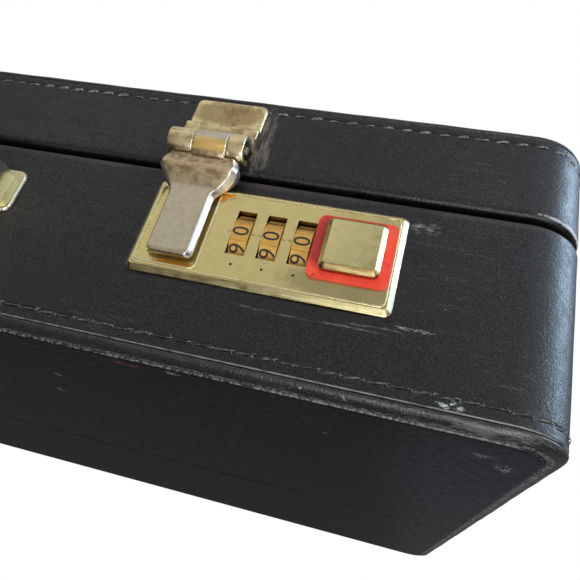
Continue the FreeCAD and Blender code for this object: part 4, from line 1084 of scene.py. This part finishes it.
def make_handle_brackets():
    """Two flanges with round rims and the lugs that carry the handle."""
    lug = [(0.1, 48.4), (7.0, 48.5)] + arc(HANDLE_OUT, HANDLE_Z, 5.5, 5.5, 100, -100, 26)
    lug += [(7.0, 37.5), (0.1, 37.6)]
    parts = []
    for side, _ in SIDES:
        parts.append(soft_plate(side, BRACKET_X, HANDLE_Z, 22, 15.6, 3, 1.4, 1.1))
        parts.append(rolled_bar(side, lug, 47.05, 57, 0.8))
    piece("handle_lugs", *join_parts(parts), "base", brass, "brass", ["handle_brackets"])


def make_grip():
    """A padded grip: fuller in the middle, creased beside its fittings, sewn along the back."""
    half_grip = 37.0
    x = np.concatenate([[-36.9], np.linspace(-36.2, 36.2, 61), [36.9]])
    turns = np.radians(np.linspace(0, 360, 49)[:-1])
    grid = np.zeros((len(x), len(turns), 3))
    middle = FRONT - HANDLE_OUT
    for i, place in enumerate(x):
        full = 1 - 0.13 * abs(place / half_grip) ** 2.2
        if abs(place) > 36.5:
            full *= 0.9
        full -= 0.012 * math.exp(-(((abs(place) - 32) / 1.2) ** 2))
        for j, turn in enumerate(turns):
            c, s = math.cos(turn), math.sin(turn)
            y = 6.9 * math.copysign(abs(c) ** 0.75, c) * full
            z = 8.9 * math.copysign(abs(s) ** 0.75, s) * full
            seam = math.exp(-(((math.degrees(turn) - 270) / 5) ** 2))
            y += 0.04 * math.sin(place * 1.3 + turn * 3)
            grid[i, j] = (place, middle - y, GRIP_Z + z + 0.5 * seam)
    faces = tube_faces(len(x), len(turns))
    grip = piece("grip_hide", grid, faces, "handle", grip_leather, "handle_leather", ["handle_grip"])
    parts = []
    along, across = np.array([1.0, 0, 0]), np.array([0, 1.0, 0])
    for side, _ in SIDES:
        for x in np.arange(15) * 4.8 - 33.6:
            z = GRIP_Z - 8.35 + 0.13 * 8.9 * abs(x / half_grip) ** 2.2
            place, down = np.array([x, middle + side * 2.4, z]), np.array([0, 0.25 * side, -1.0])
            parts.append(one_stitch(place, along, down, across, 3.9, 0.3))
    piece("grip_stitches", *join_parts(parts), "handle", black_thread, "handle_leather")


# ---- pockets in the lid


def slab(size, centre, bottom, top):
    """A thin panel of a length, depth and corner radius, with soft edges."""
    length, depth, radius = size
    edge = min(0.6, (top - bottom) / 2)
    insets = [1.5, 4.0, 8.0, *np.linspace(14, min(length, depth) / 2 - 2, 7)]
    profile = [(-inset, top) for inset in reversed(insets)]
    profile += arc(-edge, top - edge, edge, edge, 80, 10, 3)
    profile += arc(-edge, bottom + edge, edge, edge, -10, -80, 3)
    profile += [(-inset, bottom) for inset in insets]
    out, z = np.array(profile).T
    shrink = np.clip(-out, 0, None)
    points = rounded_outline(length, depth, radius, 2.0)[0]
    x = points[:, :1] * ((length / 2 - shrink) / (length / 2)) + centre[0]
    y = points[:, 1:] * ((depth / 2 - shrink) / (depth / 2)) + centre[1]
    return capped(np.stack([x, y, np.broadcast_to(z, x.shape)], axis=2))


def sewn_border(name, size, centre, level, inset, pitch):
    """Stitches round a panel that faces down."""
    length, depth, radius = size
    outline = rounded_outline(length - 2 * inset, depth - 2 * inset, max(radius - inset, 1), 1.5)
    parts, down = [], np.array([0, 0, -1.0])
    for _, point, along, across in stitch_places(outline, pitch):
        place = np.array([point[0] + centre[0], point[1] + centre[1], level + 0.25])
        parts.append(one_stitch(place, along, down, across, pitch * 0.8, 0.3))
    piece(name, *join_parts(parts), "lid", black_thread, "pocket_leather")


def make_pockets():
    """The file pocket's front with the card pocket on it, their stitches, pleats and pen loops."""
    low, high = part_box("file_pocket_front")
    top, bottom = high.z / MM, low.z / MM
    card = bottom - 1.2
    for name, node, size, centre, level, face, inset, pitch in (
        ("pocket_front", "file_pocket_front", POCKET, (0, 0), bottom, top, 3.5, 4.2),
        ("card_pocket", "card_pocket", CARD_POCKET, (-105, -17.5), card, bottom, 2.5, 3.6),
    ):
        grid, faces = slab(size, centre, level, face)
        piece(f"{name}_hide", grid, faces, "lid", pocket_leather, "pocket_leather", [node])
        sewn_border(f"{name}_stitches", size, centre, level, inset, pitch)
    make_gussets(top)
    make_pen_loops(bottom)


def make_gussets(bottom):
    """Pleats between the pocket's front and the lid, along its sides and its foot."""
    top = bottom + 8.0
    folds = [(0.6, top), (0.6, top - 0.9), (11.4, top - 2.3), (11.6, top - 2.9), (0.9, top - 4.1)]
    folds += [(11.4, top - 5.2), (11.6, top - 5.8), (0.6, top - 7.1), (0.6, bottom)]
    folds += [(out + 0.4 if out < 6 else out + 0.35, z + 0.05) for out, z in reversed(folds)]
    x, y = POCKET[0] / 2, POCKET[1] / 2
    ways = [(-x, -y, 1.0, 0.0), (-x, y, 1.0, -1.0), (x, y, -1.0, -1.0), (x, -y, -1.0, 0.0)]
    grid = [[(x + right * out, y + back * out, z) for out, z in folds] for x, y, right, back in ways]
    faces, stands_for = tube_faces(len(ways), len(folds)), ["file_pocket_gussets"]
    piece("pocket_pleats", grid, faces, "lid", pocket_leather, "pocket_leather", stands_for, smooth=False)


def hoop(middle, level, half, depth):
    """A loop's section: down one side, round the bottom and up the other."""
    left, right = middle - half, middle + half
    foot = [(middle + x, level - 5 - z) for x, z in arc(0, 0, half, depth, 170, 10, 9)]
    return [(left, level), (left, level - 5), *foot, (right, level - 5), (right, level)]


def make_pen_loops(level):
    """Three sewn leather loops."""
    parts = []
    places = [-49.9, -49.6, -43, -36, -29, -22.4, -22.1]
    for middle in (77, 101, 125):
        ring = hoop(middle, level, 7, 5) + hoop(middle, level, 5.6, 3.6)[::-1]
        grid = [[(x, y, z) for x, z in ring] for y in places]
        parts.append((grid, tube_faces(len(places), len(ring))))
    piece("pen_loop_hides", *join_parts(parts), "lid", pocket_leather, "pocket_leather", ["pen_loops"])


# ---- camera, light and floor


def aim(thing, direction, up=(0, 0, 1)):
    """Points an object's -Z along a direction."""
    back = -Vector(direction).normalized()
    right = Vector(up).cross(back).normalized()
    basis = Matrix((right, back.cross(right), back)).transposed()
    thing.rotation_euler = basis.to_euler()


def make_camera():
    """Looks up at the case's front from just below its right half."""
    data = bpy.data.cameras.new("camera")
    data.sensor_width = 36.0
    data.lens = 35.8
    data.clip_start = 0.005
    camera = bpy.data.objects.new("camera", data)
    camera.location = (0.1835, -0.3000, -0.0410)
    aim(camera, (-0.2009, 0.8745, 0.4415), (-0.1806, -0.4760, 0.8607))
    bpy.context.scene.collection.objects.link(camera)
    bpy.context.scene.camera = camera


def area_light(name, toward, distance, size, radiance, colour, target=(0.14, -0.17, 0.05)):
    """A soft rectangular light of a given radiance, seen from target in one direction."""
    data = bpy.data.lights.new(name, "AREA")
    data.shape = "RECTANGLE"
    data.size, data.size_y = size
    data.color = colour
    data.energy = radiance * math.pi * size[0] * size[1]
    light = bpy.data.objects.new(name, data)
    direction = Vector(toward).normalized()
    light.location = Vector(target) + direction * distance
    aim(light, -direction)
    light.visible_camera = False
    bpy.context.scene.collection.objects.link(light)


def make_world():
    """White behind the object; a dim room, darker below, for its light and reflections."""
    world = bpy.data.worlds.new("studio")
    bpy.context.scene.world = world
    world.use_nodes = True
    nodes = Nodes(world.node_tree)
    nodes.tree.nodes.clear()
    place = nodes.node("TexCoord").outputs["Generated"]
    height = nodes.node("SeparateXYZ", {0: place}).outputs["Z"]
    level = nodes.node("MapRange", {"Value": height, "From Min": -1.0, "From Max": 1.0})
    ramp = nodes.node("ValToRGB", {"Fac": level.outputs["Result"]})
    stops = ramp.color_ramp.elements
    stops[0].position, stops[0].color = 0.28, (0.034, 0.033, 0.032, 1)
    stops[1].position, stops[1].color = 0.95, (0.66, 0.66, 0.68, 1)
    stops.new(0.44).color = (0.13, 0.13, 0.135, 1)
    stops.new(0.76).color = (0.16, 0.16, 0.165, 1)
    room = nodes.node("Background", {"Color": ramp.outputs["Color"]}).outputs[0]
    white = nodes.node("Background", {"Color": (1, 1, 1)}).outputs[0]
    seen = nodes.node("LightPath").outputs["Is Camera Ray"]
    blend = nodes.node("MixShader", {"Fac": seen, 1: room, 2: white}).outputs[0]
    nodes.node("OutputWorld", {"Surface": blend})


def make_floor():
    """A pale floor that shows only from above, because the camera looks up from just below it."""
    far = 4000
    corners = [(-far, -far, 0), (far, -far, 0), (far, far, 0), (-far, far, 0)]
    floor = make_object("floor", corners, [[0, 1, 2, 3]])
    paint = Paint("pale floor")
    paint.set(Base_Color=(0.86, 0.86, 0.85), Roughness=0.7)
    clear = paint.node("BsdfTransparent").outputs[0]
    below = paint.node("NewGeometry").outputs["Backfacing"]
    blend = paint.node("MixShader", {"Fac": below, 1: paint.shader.outputs[0], 2: clear}).outputs[0]
    paint.put(paint.tree.nodes["Material Output"].inputs["Surface"], blend)
    floor.data.materials.append(paint.material)
    for flag in ("visible_shadow", "visible_diffuse", "visible_glossy"):
        setattr(floor, flag, False)


def make_lights():
    """A window on the right, the room round it and its bounce."""
    area_light("window", (0.865, 0.13, 0.48), 1.2, (0.36, 0.75), 13.0, (0.56, 0.77, 1.0))
    area_light("window front", (0.75, -0.62, -0.12), 1.3, (0.6, 0.5), 5.0, (1.0, 0.95, 0.88))
    area_light("right wall", (0.84, -0.26, 0.44), 1.5, (1.0, 1.2), 0.80, (0.80, 0.91, 1.0))
    area_light("room front", (-0.48, -0.74, 0.46), 1.5, (1.3, 1.3), 0.50, (1.0, 0.97, 0.92))
    area_light("upper front", (0.40, -0.76, 0.51), 1.5, (0.8, 1.1), 1.15, (0.80, 0.90, 1.0))
    area_light("low front", (-0.16, -0.82, -0.50), 1.2, (1.4, 1.3), 0.46, (1.0, 0.92, 0.80))
    area_light("back low", (0.36, 0.90, -0.22), 1.2, (0.7, 0.4), 0.12, (0.76, 0.87, 1.0))
    area_light("back fill", (-0.35, 0.85, 0.40), 1.6, (1.6, 1.1), 0.55, (0.96, 0.98, 1.0))
    area_light("low bounce", (0.30, -0.45, -0.84), 0.9, (0.65, 0.70), 4.0, (0.96, 0.98, 1.0))


bpy.context.scene.view_settings.view_transform = "Standard"
make_camera()
make_world()
make_lights()
make_floor()
dress_cad_nodes()
make_halves()
make_studs()
make_hasps()
make_dial_marks()
make_plate_marks()
make_handle_brackets()
make_grip()
make_pockets()
